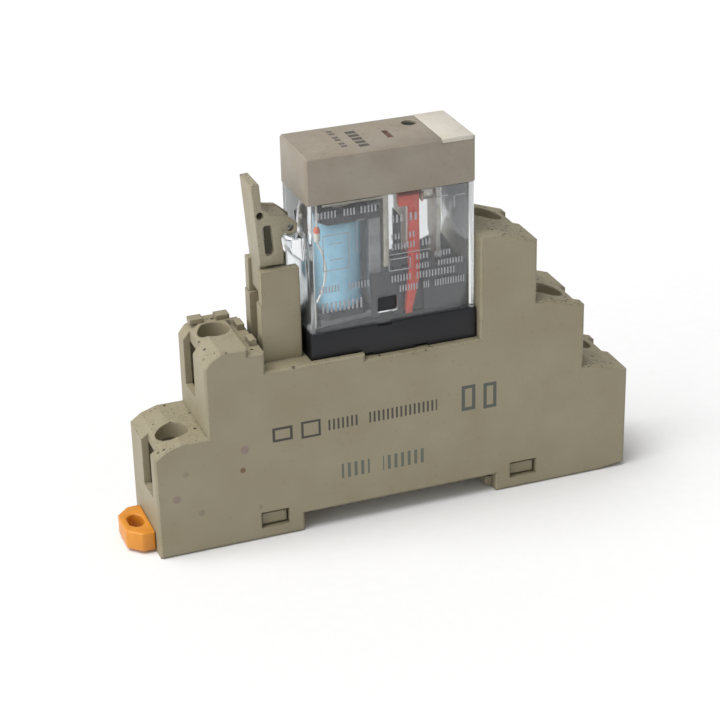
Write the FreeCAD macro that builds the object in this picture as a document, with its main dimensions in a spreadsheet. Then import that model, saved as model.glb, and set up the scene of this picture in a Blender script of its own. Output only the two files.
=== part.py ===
import FreeCAD, Part
import os
import Sketcher

# Plug-in relay in its rail socket. Millimetres; x runs along the socket, y across it and z up.
# The origin lies under the middle of the whole assembly, at the level of the feet.

sizes = {
    # socket body: the tiers from left to right, and the deck between them
    "bodyWidth": 15.5,
    "lowLeftLength": 9.2,
    "highLeftLength": 10.2,
    "postBay": 8.4,
    "highRightLength": 10.3,
    "midRightLength": 9.0,
    "lowRightLength": 8.5,
    "lowLeftTop": 20.7,
    "highLeftTop": 35.6,
    "highRightTop": 48.3,
    "midRightTop": 34.9,
    "lowRightTop": 21.1,
    "slopeRun": 6.5,
    "slopeFall": 2.2,
    "lowLeftFlat": 4.6,
    "lowLeftKnee": 0.4,
    "noseRun": 2.9,
    "noseFall": 2.4,
    "noseKneeRun": 1.0,
    "noseKneeFall": 1.1,
    "tierNotch": 1.2,
    "tierNotchLength": 2.8,
    "seatHeight": 29.8,
    "keyStart": 1.40,
    "keyLength": 2.3,
    "keyPitch": 4.50,
    "keyInner": 4.7,
    "keyWidth": 2.0,
    "keyHeight": 0.75,
    "stopStart": 1.5,
    "stopEnd": 0.3,
    "stopInner": 2.0,
    "stopOuter": 4.6,
    "stopHeight": 1.0,
    "lipHeight": 1.04,
    "lipReach": 8.9,
    "edgeBreak": 0.35,
    "footBreakRun": 5.0,
    "footBreakRise": 0.6,
    # rail opening, base cover and rail slider
    "railStart": 25.2,
    "railOpening": 35.1,
    "railDepth": 3.3,
    "flangeGap": 1.2,
    "hookReach": 1.2,
    "hookBottom": 0.5,
    "coverStart": 14.0,
    "coverTail": 10.7,
    "coverTop": 4.9,
    "innerWidth": 11.8,
    "coverFit": 0.1,
    "windowLeft": 17.6,
    "windowRight": 62.9,
    "windowLength": 4.9,
    "windowBottom": 2.1,
    "windowHeight": 2.9,
    "catchFit": 0.3,
    "catchReach": 1.2,
    "sliderWidth": 7.4,
    "sliderBottom": 0.7,
    "sliderThick": 2.4,
    "sliderFit": 0.1,
    "sliderLap": 0.1,
    "noseLap": 0.85,
    "tabReach": 4.5,
    "tabWidth": 10.0,
    "tabBottom": 0.5,
    "tabThick": 3.4,
    "tabCorner": 2.2,
    "eyeLength": 2.6,
    "eyeWidth": 4.2,
    "eyeCorner": 0.9,
    "eyeEdge": 1.1,
    # screw terminals
    "leftInset": 4.5,
    "rightInset": 5.0,
    "lowLeftScrewY": -2.3,
    "highLeftScrewY": 1.6,
    "highRightScrewY": 2.7,
    "midRightScrewY": -2.7,
    "lowRightScrewY": 2.7,
    "plateDepth": 10.4,
    "plateThick": 1.0,
    "collarHeight": 0.4,
    "collarRadius": 2.1,
    "shankRadius": 1.45,
    "threadFit": 0.05,
    "wireGap": 4.4,
    "clampThick": 1.2,
    "clampSide": 5.2,
    "headRadius": 2.4,
    "headHeight": 1.7,
    "headFit": 0.05,
    "headRoom": 0.25,
    "driverSlot": 0.7,
    "driverDepth": 0.9,
    "shankTail": 0.6,
    "boreRadius": 2.7,
    "funnelDepth": 1.2,
    "funnelWidth": 5.6,
    "chamberInner": 3.5,
    "chamberOver": 1.4,
    "screwTravel": 4.0,
    "tipRoom": 0.8,
    # conductors in two lanes, one each side of the middle wall
    "laneWall": 1.2,
    "laneOuter": 5.4,
    "strapThick": 0.8,
    "strapWidth": 2.0,
    "strapFit": 0.3,
    "plateInner": 3.2,
    "plateOuter": 2.9,
    "plateOver": 1.0,
    "lowRun": 5.6,
    "middleRun": 10.5,
    "upperRun": 13.0,
    "bladeY": 3.75,
    "bladeThick": 0.5,
    "bladeWidth": 2.5,
    "bladeLength": 5.2,
    "bladeSlotFit": 0.2,
    "leafThick": 0.4,
    "leafFit": 0.03,
    "leafWidth": 2.8,
    "leafBottom": 8.8,
    "leafTop": 2.2,
    "riserTop": 5.3,
    "deckThick": 1.6,
    "pocketWidth": 3.8,
    # hold-down posts and lever
    "postLowInner": 1.9,
    "postHighInner": 2.5,
    "postOuter": 4.3,
    "postStep": 11.1,
    "postHeight": 16.9,
    "postFoot": -0.8,
    "postSetback": 1.0,
    "postLength": 7.5,
    "footWellStart": 1.2,
    "footWellOver": 2.5,
    "pivotX": 3.6,
    "pivotZ": 2.8,
    "pinRadius": 1.2,
    "pinFit": 0.05,
    "pinReach": 3.1,
    "pinEndFit": 0.1,
    "leverHalf": 3.0,
    "earThick": 1.1,
    "leverPlate": 1.3,
    "stemHalf": 2.3,
    "shankHalf": 1.7,
    "hubRadius": 1.9,
    "leverHole": 0.6,
    "webInset": 0.4,
    "footDrop": 2.8,
    # relay
    "relayLength": 29.0,
    "relayWidth": 13.0,
    "relayGap": 0.4,
    "seatFit": 0.05,
    "wellFit": 0.15,
    "baseHeight": 5.4,
    "plinthHeight": 0.8,
    "caseHeight": 22.5,
    "caseInset": 0.15,
    "caseWall": 0.8,
    "capHeight": 8.0,
    "capWall": 1.2,
    "capBreak": 0.35,
    "plateStart": 23.2,
    "plateLength": 5.5,
    "plateStock": 0.5,
    "plateLip": 0.3,
    "coilBladeX": 3.2,
    "closedBladeX": 15.9,
    "commonBladeX": 20.2,
    "openBladeX": 25.7,
    "latchX": 11.8,
    "latchLength": 3.3,
    "latchRise": 1.95,
    "latchHeight": 2.6,
    "latchFit": 0.1,
    "ribStep": 0.4,
    "ribThick": 0.3,
    "catchDepth": 0.56,
    "notchX": 9.2,
    "notchLength": 1.5,
    "secondNotchX": 18.1,
    "secondNotchLength": 2.2,
    "notchRise": 0.5,
    "notchDepth": 0.45,
    "sillX": 11.6,
    "sillLength": 2.5,
    "sillDepth": 0.4,
    "lugReach": 3.0,
    "lugTop": 21.65,
    "lugDepth": 4.0,
    "lugHalf": 4.0,
    "lugRoot": 0.1,
    "lugHeel": 0.5,
    "lugChinReach": 1.86,
    "lugChinDrop": 3.12,
    # relay mechanism
    "coilX": 6.6,
    "coreRadius": 2.25,
    "coreFit": 0.05,
    "poleRadius": 3.2,
    "poleThick": 0.4,
    "yokeThick": 1.2,
    "yokeLeg": 2.0,
    "yokeStart": 2.6,
    "yokeEnd": 13.1,
    "yokeTop": 25.5,
    "yokeHalf": 4.0,
    "spoolLength": 8.7,
    "spoolHalf": 5.0,
    "spoolCorner": 1.5,
    "spoolTube": 3.0,
    "flangeThick": 1.0,
    "topFlange": 1.6,
    "topFlangeZ": 23.6,
    "apronEnd": 12.8,
    "apronBack": 4.1,
    "windingInset": 0.3,
    "windingCorner": 2.6,
    "armatureGap": 0.4,
    "armatureThick": 0.8,
    "armatureStart": 3.2,
    "limbGap": 0.6,
    "limbThick": 0.9,
    "limbBottom": 14.6,
    "returnThick": 0.3,
    "returnBottom": 15.0,
    "returnTop": 25.5,
    "barThick": 0.8,
    "barHalf": 2.0,
    "footThick": 0.6,
    "closedBarX": 17.6,
    "springX": 19.95,
    "springThick": 0.3,
    "springFoot": 12.75,
    "springTop": 26.6,
    "springTab": 1.4,
    "springTabReach": 5.1,
    "rootGap": 0.35,
    "commonStep": 1.0,
    "springRoom": 0.4,
    "openBarX": 23.8,
    "openContactThick": 2.03,
    "barTop": 26.0,
    "contactRadius": 1.5,
    "contactZ": 24.0,
    "contactThick": 0.65,
    "rivetRadius": 0.6,
    "blockStart": 14.9,
    "blockEnd": 27.8,
    "blockTop": 13.45,
    "blockWall": 0.8,
    "skirtStart": 11.1,
    "skirtTop": 14.0,
    "skirtFront": 5.05,
    "skirtLap": 0.05,
    "barrierStart": 15.1,
    "barrierEnd": 16.3,
    "barrierLow": 23.2,
    "barrierHigh": 24.6,
    "barrierThick": 0.7,
    "gateStart": 16.3,
    "gateEnd": 20.3,
    "blockFront": 4.1,
    "blockBack": 5.3,
    "slotFit": 0.1,
    "cardBack": 4.2,
    "cardFront": 5.3,
    "cardBarX": 17.7,
    "cardBarWidth": 1.8,
    "cardTop": 26.75,
    "cardTopBar": 1.8,
    "cardTopX": 15.9,
    "cardFootX": 16.9,
    "cardFootWidth": 1.0,
    "cardFootZ": 5.7,
    "cardNeckZ": 12.2,
    "cardArmX": 14.9,
    "cardArmZ": 14.4,
    "cardArmHeight": 2.0,
    "cardArmBack": 2.8,
    "cardArmLap": 1.4,
    "grooveFit": 0.5,
    "grooveDrop": 0.2,
    # parts under the cap
    "boardStart": 5.0,
    "boardLength": 19.0,
    "boardHalf": 4.8,
    "boardZ": 1.3,
    "boardThick": 1.0,
    "lampX": 15.6,
    "lampLength": 1.1,
    "lampFront": -2.3,
    "lampWidth": 3.5,
    "lampFit": 0.1,
    "lampDrop": 0.2,
    "lampBody": 3.3,
    "lampFlange": 0.6,
    "buttonX": 21.2,
    "buttonY": 3.0,
    "buttonRadius": 1.2,
    "buttonFit": 0.06,
    "buttonDrop": 0.3,
    "buttonFlange": 1.9,
    "buttonFlangeThick": 0.8,
    "buttonStem": 0.8,
    "buttonStemFit": 0.2,
    "buttonTail": 0.6,
    "coilSpringOuter": 1.7,
    "coilSpringInner": 1.1,
    "diodeX": 2.0,
    "diodeY": -4.7,
    "diodeRadius": 0.55,
    "diodeBottom": 20.9,
    "diodeLength": 2.6,
    "leadRadius": 0.2,
    "leadBow": 1.3,
    "leadFit": 0.1,
    "railFit": 0.02,
    "postX": 1.1,
    "postThick": 0.6,
    "postInner": 3.2,
    "postOuterY": 4.2,
    "postTop": 10.6,
}

doc = FreeCAD.newDocument("PlugInRelay")
sheet = doc.addObject("Spreadsheet::Sheet", "dim")
for row, (alias, value) in enumerate(sizes.items(), start=1):
    sheet.set(f"A{row}", alias)
    sheet.set(f"B{row}", str(value))
    sheet.setAlias(f"B{row}", alias)
doc.recompute()

subParts = []


def number(expression):
    """Present value of an expression on the sheet."""
    return float(sheet.evalExpression(expression))


def piece(label, at):
    """A new body, seated at three expressions."""
    body = doc.addObject("PartDesign::Body", label)
    body.Label = label
    for axis, expression in zip("xyz", at):
        body.setExpression(f"Placement.Base.{axis}", expression)
    subParts.append(body)
    return body


def sketchOn(body, plane, level, outlines):
    """Sketch of closed outlines on a plane of the body, at a height given by an expression."""
    sketch = body.newObject("Sketcher::SketchObject", "Outline")
    base = [item for item in body.Origin.OriginFeatures if item.Role == f"{plane}_Plane"][0]
    sketch.AttachmentSupport = [(base, "")]
    sketch.MapMode = "FlatFace"
    sketch.setExpression("AttachmentOffset.Base.z", level)
    for outline in outlines:
        if outline[0] == "circle":
            addCircle(sketch, *outline[1:])
        else:
            addPolygon(sketch, outline)
    return sketch


def addPolygon(sketch, corners):
    """Closed polygon whose every corner is bound to two expressions."""
    first = sketch.GeometryCount
    count = len(corners)
    points = [FreeCAD.Vector(number(u), number(v), 0) for u, v in corners]
    for index in range(count):
        sketch.addGeometry(Part.LineSegment(points[index], points[(index + 1) % count]), False)
    for index in range(count):
        following = first + (index + 1) % count
        sketch.addConstraint(Sketcher.Constraint("Coincident", first + index, 2, following, 1))
    for index, corner in enumerate(corners):
        for kind, expression, value in zip(("DistanceX", "DistanceY"), corner, points[index]):
            rule = Sketcher.Constraint(kind, -1, 1, first + index, 1, value)
            bound = sketch.addConstraint(rule)
            sketch.setExpression(f"Constraints[{bound}]", expression)


def addCircle(sketch, u, v, radius):
    """Circle with its centre and radius bound to expressions."""
    middle = FreeCAD.Vector(number(u), number(v), 0)
    ring = sketch.addGeometry(Part.Circle(middle, FreeCAD.Vector(0, 0, 1), number(radius)), False)
    for kind, expression, value in zip(("DistanceX", "DistanceY"), (u, v), middle):
        bound = sketch.addConstraint(Sketcher.Constraint(kind, -1, 1, ring, 3, value))
        sketch.setExpression(f"Constraints[{bound}]", expression)
    bound = sketch.addConstraint(Sketcher.Constraint("Radius", ring, number(radius)))
    sketch.setExpression(f"Constraints[{bound}]", radius)


def pad(body, plane, outlines, low, high):
    """Add the outlines as a prism from low to high along the plane's world axis."""
    level = f"-({high})" if plane == "XZ" else low
    feature = body.newObject("PartDesign::Pad", "Pad")
    feature.Profile = sketchOn(body, plane, level, outlines)
    feature.setExpression("Length", f"{high} - ({low})")
    return feature


def cut(body, plane, outlines, low, high):
    """Cut the outlines as a prism from low to high along the plane's world axis."""
    level = f"-({low})" if plane == "XZ" else high
    feature = body.newObject("PartDesign::Pocket", "Pocket")
    feature.Profile = sketchOn(body, plane, level, outlines)
    feature.setExpression("Length", f"{high} - ({low})")
    return feature


def turned(body, corners):
    """Solid of revolution about the body's own z axis, from radius and height corners."""
    sketch = sketchOn(body, "XZ", "0", [corners])
    feature = body.newObject("PartDesign::Revolution", "Revolution")
    feature.Profile = sketch
    feature.ReferenceAxis = (sketch, ["V_Axis"])
    feature.Angle = 360
    return feature


def bevel(body, size, wanted):
    """Chamfer every edge of the body that the test accepts."""
    doc.recompute()
    base = body.Tip
    names = [f"Edge{index}" for index, edge in enumerate(base.Shape.Edges, start=1) if wanted(edge)]
    feature = body.newObject("PartDesign::Chamfer", "Chamfer")
    feature.Base = (base, names)
    feature.setExpression("Size", size)
    return feature


def box(left, right, bottom, top):
    """Rectangle as four corners."""
    return [(left, bottom), (right, bottom), (right, top), (left, top)]


def either(side, near, far):
    """Low and high expressions of a span on one side of the middle plane."""
    return (near, far) if side > 0 else (f"-({far})", f"-({near})")


def inOrder(sign, start, end):
    """The two ends of a span in rising order, when sign says which way it runs."""
    return (start, end) if sign > 0 else (end, start)


# places along the socket, from its left end
highLeftX = "dim.lowLeftLength"
deckX = f"{highLeftX} + dim.highLeftLength"
relayX = f"{deckX} + dim.postBay"
towerX = f"{relayX} + dim.relayLength + dim.relayGap"
midRightX = f"{towerX} + dim.highRightLength"
lowRightX = f"{midRightX} + dim.midRightLength"
endX = f"{lowRightX} + dim.lowRightLength"
railEnd = "dim.railStart + dim.railOpening"
coverEnd = f"{railEnd} + dim.coverTail"
halfWidth = "dim.bodyWidth / 2"
lipTop = "dim.seatHeight + dim.lipHeight"
leftEnd = f"-({endX} - dim.tabReach) / 2"
socketPlace = (leftEnd, "0", "0")
relayPlace = (f"{leftEnd} + {relayX}", "0", "dim.seatHeight + dim.seatFit")
pivotX = f"{deckX} + dim.pivotX"
pivotZ = "dim.seatHeight + dim.pivotZ"

# each terminal: the face its wire enters, the way inward, its lane, screw, top, blade and run
terminals = {
    "low_left": ("0", 1, -1, "dim.leftInset", "dim.lowLeftScrewY", "dim.lowLeftTop",
                 "dim.coilBladeX", "dim.lowRun"),
    "high_left": (highLeftX, 1, 1, "dim.leftInset", "dim.highLeftScrewY", "dim.highLeftTop",
                  "dim.coilBladeX", "dim.middleRun"),
    "high_right": (midRightX, -1, 1, "dim.rightInset", "dim.highRightScrewY", "dim.highRightTop",
                   "dim.openBladeX", "dim.upperRun"),
    "mid_right": (lowRightX, -1, -1, "dim.rightInset", "dim.midRightScrewY", "dim.midRightTop",
                  "dim.commonBladeX", "dim.middleRun"),
    "low_right": (endX, -1, 1, "dim.rightInset", "dim.lowRightScrewY", "dim.lowRightTop",
                  "dim.closedBladeX", "dim.lowRun"),
}


def along(start, sign, distance):
    """A place at a distance inward from another."""
    return f"{start} + ({distance})" if sign > 0 else f"{start} - ({distance})"


def housingOutline():
    """Side view of the socket body: feet, rail opening, right tiers, deck and left tiers."""
    corners = [
        ("0", "0"),
        ("dim.railStart", "0"),
        ("dim.railStart", "dim.railDepth"),
        (railEnd, "dim.railDepth"),
        (railEnd, "0"),
        (f"{endX} - dim.footBreakRun", "0"),
        (endX, "dim.footBreakRise"),
    ]
    rightTiers = (
        (endX, lowRightX, "dim.lowRightTop"),
        (lowRightX, midRightX, "dim.midRightTop"),
        (midRightX, towerX, "dim.highRightTop"),
    )
    for outer, inner, top in rightTiers:
        corners.append((outer, f"{top} - dim.slopeFall"))
        corners.append((f"{outer} - dim.slopeRun", top))
        corners.append((inner, top))
    corners += [
        (towerX, "dim.seatHeight"),
        (f"{relayX} + dim.lipReach", "dim.seatHeight"),
        (f"{relayX} + dim.lipReach", lipTop),
        (deckX, lipTop),
        (deckX, "dim.highLeftTop - dim.tierNotch"),
        (f"{deckX} - dim.tierNotchLength", "dim.highLeftTop - dim.tierNotch"),
        (f"{deckX} - dim.tierNotchLength", "dim.highLeftTop"),
        (f"{highLeftX} + dim.noseRun", "dim.highLeftTop"),
        (f"{highLeftX} + dim.noseKneeRun", "dim.highLeftTop - dim.noseKneeFall"),
        (highLeftX, "dim.highLeftTop - dim.noseFall"),
        (highLeftX, "dim.lowLeftTop"),
        ("dim.lowLeftFlat", "dim.lowLeftTop"),
        ("dim.lowLeftFlat * dim.lowLeftKnee", "dim.lowLeftTop - dim.slopeFall * dim.lowLeftKnee"),
        ("0", "dim.lowLeftTop - dim.slopeFall"),
    ]
    return corners


def onSideFace(edge):
    """Whether an edge lies in one of the two side faces."""
    spread = edge.BoundBox
    return spread.YLength < 1e-6 and abs(abs(spread.YMin) - number(halfWidth)) < 1e-6


def makeHousing():
    """The one-piece socket moulding."""
    body = piece("socket_housing", socketPlace)
    pad(body, "XZ", [housingOutline()], f"-({halfWidth})", halfWidth)
    bevel(body, "dim.edgeBreak", onSideFace)
    for side in (1, -1):
        low, high = either(side, "dim.postLowInner", "dim.postOuter")
        lowPost = box(f"{deckX} - dim.postFoot", f"{deckX} + dim.postLength", low, high)
        pad(body, "XY", [lowPost], "dim.seatHeight", "dim.seatHeight + dim.postStep")
        low, high = either(side, "dim.postHighInner", "dim.postOuter")
        highPost = box(f"{deckX} + dim.postSetback", f"{deckX} + dim.postLength", low, high)
        pad(body, "XY", [highPost], "dim.seatHeight + dim.postStep", "dim.seatHeight + dim.postHeight")
    well = box(f"{relayX} - dim.wellFit", f"{relayX} + dim.lipReach + 1",
               "-(dim.relayWidth / 2 + dim.wellFit)", "dim.relayWidth / 2 + dim.wellFit")
    cut(body, "XY", [well], "dim.seatHeight", f"{lipTop} + 1")
    footWell = box(f"{deckX} + dim.footWellStart", f"{relayX} + dim.footWellOver",
                   "-dim.postLowInner", "dim.postLowInner")
    cut(body, "XY", [footWell], "dim.seatHeight - dim.footDrop", f"{lipTop} + 1")
    pivot = [("circle", pivotX, pivotZ, "dim.pinRadius + dim.pinFit")]
    cut(body, "XZ", pivot, "-(dim.pinReach + dim.pinEndFit)", "dim.pinReach + dim.pinEndFit")
    for name in terminals:
        cutTerminal(body, *terminals[name])
    under = box("dim.coverStart", coverEnd, "-dim.innerWidth / 2", "dim.innerWidth / 2")
    cut(body, "XY", [under], "-1", "dim.coverTop")
    channel = box("-(dim.sliderWidth / 2 + dim.sliderFit)", "dim.sliderWidth / 2 + dim.sliderFit",
                  "dim.sliderBottom - dim.sliderFit",
                  "dim.sliderBottom + dim.sliderThick + dim.sliderFit")
    cut(body, "YZ", [channel], "-1", "dim.coverStart + 1")
    windows = [box(start, f"{start} + dim.windowLength", "dim.windowBottom",
                   "dim.windowBottom + dim.windowHeight")
               for start in ("dim.windowLeft", "dim.windowRight")]
    cut(body, "XZ", windows, f"-({halfWidth} + 1)", f"{halfWidth} + 1")
    keys = [box(f"{highLeftX} + {start}", f"{highLeftX} + {start} + dim.keyLength", "dim.keyInner",
                "dim.keyInner + dim.keyWidth")
            for start in ("dim.keyStart", "dim.keyStart + dim.keyPitch")]
    pad(body, "XY", keys, "dim.highLeftTop", "dim.highLeftTop + dim.keyHeight")
    stops = [box(f"{deckX} - dim.stopStart", f"{deckX} - dim.stopEnd",
                 *either(side, "dim.stopInner", "dim.stopOuter"))
             for side in (1, -1)]
    notchFloor = "dim.highLeftTop - dim.tierNotch"
    pad(body, "XY", stops, notchFloor, f"{notchFloor} + dim.stopHeight")
    return body


def cutTerminal(body, face, inward, lane, inset, screwY, top, bladeX, run):
    """Chamber, wire funnel, screwdriver bore, conductor channel and blade slot of a terminal."""
    screwX = along(face, inward, inset)
    plateTop = f"{top} - dim.plateDepth"
    blade = f"{relayX} + {bladeX}"
    floor = f"{plateTop} - dim.plateThick - dim.shankTail - dim.screwTravel - dim.tipRoom"
    ceiling = f"{plateTop} + dim.wireGap + dim.clampThick + dim.headHeight + dim.headRoom"
    left, right = inOrder(inward, along(face, inward, "dim.funnelDepth - 0.01"),
                          along(screwX, inward, "dim.chamberInner"))
    low, high = either(lane, "-dim.chamberOver", "dim.laneOuter")
    cut(body, "XZ", [box(left, right, floor, ceiling)], low, high)
    left, right = inOrder(inward, along(face, -inward, "1"), along(face, inward, "dim.funnelDepth"))
    funnel = box(left, right, f"{screwY} - dim.funnelWidth / 2", f"{screwY} + dim.funnelWidth / 2")
    cut(body, "XY", [funnel], plateTop, f"{top} + 1")
    cut(body, "XY", [("circle", screwX, screwY, "dim.boreRadius")], f"{ceiling} - 0.1", f"{top} + 1")
    near = along(screwX, inward, "dim.chamberInner - dim.strapWidth - 2 * dim.strapFit")
    far = along(screwX, inward, "dim.chamberInner")
    pocketNear = along(blade, -inward, "dim.pocketWidth / 2")
    pocketFar = along(blade, inward, "dim.pocketWidth / 2")
    runTop = f"{run} + dim.strapWidth + dim.strapFit"
    deckUnder = "dim.seatHeight - dim.deckThick"
    channel = [(near, plateTop), (far, plateTop), (far, runTop), (pocketNear, runTop),
               (pocketNear, deckUnder), (pocketFar, deckUnder), (pocketFar, "dim.coverTop"),
               (near, "dim.coverTop")]
    low, high = either(lane, "dim.laneWall", "dim.laneOuter")
    cut(body, "XZ", [channel], low, high)
    middle = f"{lane} * dim.bladeY"
    slot = box(f"{blade} - dim.bladeWidth / 2 - dim.bladeSlotFit",
               f"{blade} + dim.bladeWidth / 2 + dim.bladeSlotFit",
               f"{middle} - dim.bladeThick / 2 - dim.bladeSlotFit",
               f"{middle} + dim.bladeThick / 2 + dim.bladeSlotFit")
    cut(body, "XY", [slot], f"{deckUnder} - 0.1", "dim.seatHeight + 1")


def makeCover():
    """The base cover that closes the conductor lanes and forms the rail seat."""
    body = piece("base_cover", socketPlace)
    hookTop = "dim.railDepth - dim.flangeGap"
    top = "dim.coverTop - dim.coverFit"
    corners = [
        ("dim.coverStart + dim.coverFit", "0"),
        ("dim.railStart", "0"),
        ("dim.railStart", "dim.railDepth"),
        (railEnd, "dim.railDepth"),
        (railEnd, hookTop),
        (f"{railEnd} - dim.hookReach", hookTop),
        (f"{railEnd} - dim.hookReach", "dim.hookBottom"),
        (railEnd, "0"),
        (f"{coverEnd} - dim.coverFit", "0"),
        (f"{coverEnd} - dim.coverFit", top),
        ("dim.coverStart + dim.coverFit", top),
    ]
    half = "dim.innerWidth / 2 - dim.coverFit"
    pad(body, "XZ", [corners], f"-({half})", half)
    for start in ("dim.windowLeft", "dim.windowRight"):
        catch = box(f"{start} + dim.catchFit", f"{start} + dim.windowLength - dim.catchFit",
                    "dim.windowBottom + dim.catchFit",
                    "dim.windowBottom + dim.windowHeight - 2 * dim.catchFit")
        pad(body, "XZ", [catch], f"-({half} + dim.catchReach)", f"{half} + dim.catchReach")
    channel = box("-(dim.sliderWidth / 2 + dim.sliderFit)", "dim.sliderWidth / 2 + dim.sliderFit",
                  "dim.sliderBottom - dim.sliderFit",
                  "dim.sliderBottom + dim.sliderThick + dim.sliderFit")
    cut(body, "YZ", [channel], "dim.coverStart - 1", "dim.railStart + 1")
    return body


def makeSlider():
    """The rail slider with its pull tab and the nose that holds the rail."""
    body = piece("rail_slider", socketPlace)
    half = "dim.sliderWidth / 2"
    tongue = box("-dim.sliderFit - dim.sliderLap", "dim.railStart - dim.noseLap", f"-{half}", half)
    pad(body, "XY", [tongue], "dim.sliderBottom", "dim.sliderBottom + dim.sliderThick")
    nose = box("dim.railStart - dim.noseLap", "dim.railStart + dim.hookReach", f"-{half}", half)
    pad(body, "XY", [nose], "dim.sliderBottom", "dim.railDepth - dim.flangeGap - dim.sliderFit")
    wide = "dim.tabWidth / 2"
    tab = [
        ("-dim.sliderFit", f"-{wide}"),
        ("-dim.sliderFit", wide),
        ("-dim.tabReach + dim.tabCorner", wide),
        ("-dim.tabReach", f"{wide} - dim.tabCorner"),
        ("-dim.tabReach", f"-{wide} + dim.tabCorner"),
        ("-dim.tabReach + dim.tabCorner", f"-{wide}"),
    ]
    pad(body, "XY", [tab], "dim.tabBottom", "dim.tabBottom + dim.tabThick")
    left = "-dim.tabReach + dim.eyeEdge"
    right = f"{left} + dim.eyeLength"
    eyeHalf = "dim.eyeWidth / 2"
    eye = [
        (left, f"-{eyeHalf} + dim.eyeCorner"),
        (f"{left} + dim.eyeCorner", f"-{eyeHalf}"),
        (f"{right} - dim.eyeCorner", f"-{eyeHalf}"),
        (right, f"-{eyeHalf} + dim.eyeCorner"),
        (right, f"{eyeHalf} - dim.eyeCorner"),
        (f"{right} - dim.eyeCorner", eyeHalf),
        (f"{left} + dim.eyeCorner", eyeHalf),
        (left, f"{eyeHalf} - dim.eyeCorner"),
    ]
    cut(body, "XY", [eye], "0", "dim.tabBottom + dim.tabThick + 1")
    return body


def makeLever():
    """The hold-down lever, modelled about its pivot axis."""
    body = piece("hold_down_lever", (f"{leftEnd} + {pivotX}", "0", pivotZ))
    ear = [("-2.15", "14.7"), ("-3.15", "28.6"), ("-2.1", "28.7"), ("-1.65", "24.7"),
           ("-0.1", "23.3"), ("2.3", "22.9"), ("4.35", "21.2"), ("4.15", "19.6"),
           ("2.95", "19.35"), ("2.15", "19.9"), ("1.5", "19.1"), ("1.75", "17.2"),
           ("1.75", "14.6")]
    for side in (1, -1):
        low, high = either(side, "dim.leverHalf - dim.earThick", "dim.leverHalf")
        pad(body, "XZ", [ear], low, high)
    plate = [("-2.15", "14.7"), ("-3.15", "28.6"), ("-3.15 + dim.leverPlate", "28.7"),
             ("-2.15 + dim.leverPlate", "14.7")]
    pad(body, "XZ", [plate], "-dim.leverHalf", "dim.leverHalf")
    web = [("-2.2", "21.9"), ("-2.2", "25.2"), ("-1.6", "24.6"), ("-0.1", "23.2"), ("2.3", "22.8"),
           ("3.3", "21.9")]
    pad(body, "XZ", [web], "-dim.leverHalf + dim.webInset", "dim.leverHalf - dim.webInset")
    stem = [("-2.05", "9.6"), ("-2.15", "15.4"), ("-2.15 + dim.leverPlate", "15.4"),
            ("-0.4", "9.6")]
    pad(body, "XZ", [stem], "-dim.stemHalf", "dim.stemHalf")
    shank = [("-1.1", "0"), ("-1.1", "7.6"), ("-2.05", "9.7"), ("-0.4", "9.7"), ("0.9", "7.2"),
             ("1.2", "0")]
    pad(body, "XZ", [shank], "-dim.shankHalf", "dim.shankHalf")
    foot = [("-0.6", "-1.0"), ("0.9", "1.0"), ("1.9", "-0.3"), ("3.9", "-3.25"),
            ("5.4", "-3.25"), ("5.4", "-4.3"), ("3.6", "-4.5")]
    pad(body, "XZ", [foot], "-dim.shankHalf", "dim.shankHalf")
    pad(body, "XZ", [("circle", "0", "0", "dim.hubRadius")], "-dim.shankHalf", "dim.shankHalf")
    pad(body, "XZ", [("circle", "0", "0", "dim.pinRadius")], "-dim.pinReach", "dim.pinReach")
    holes = [("circle", "-1.9", "23.4", "dim.leverHole"), ("circle", "3.15", "20.6", "dim.leverHole"),
             [("-1.55", "21.2"), ("-1.2", "21.6"), ("-0.4", "21.6"), ("-0.05", "21.2"),
              ("0.25", "16.9"), ("-0.1", "16.4"), ("-0.95", "16.4"), ("-1.25", "16.9")]]
    cut(body, "XZ", holes, "-dim.leverHalf - 1", "dim.leverHalf + 1")
    return body


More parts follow.
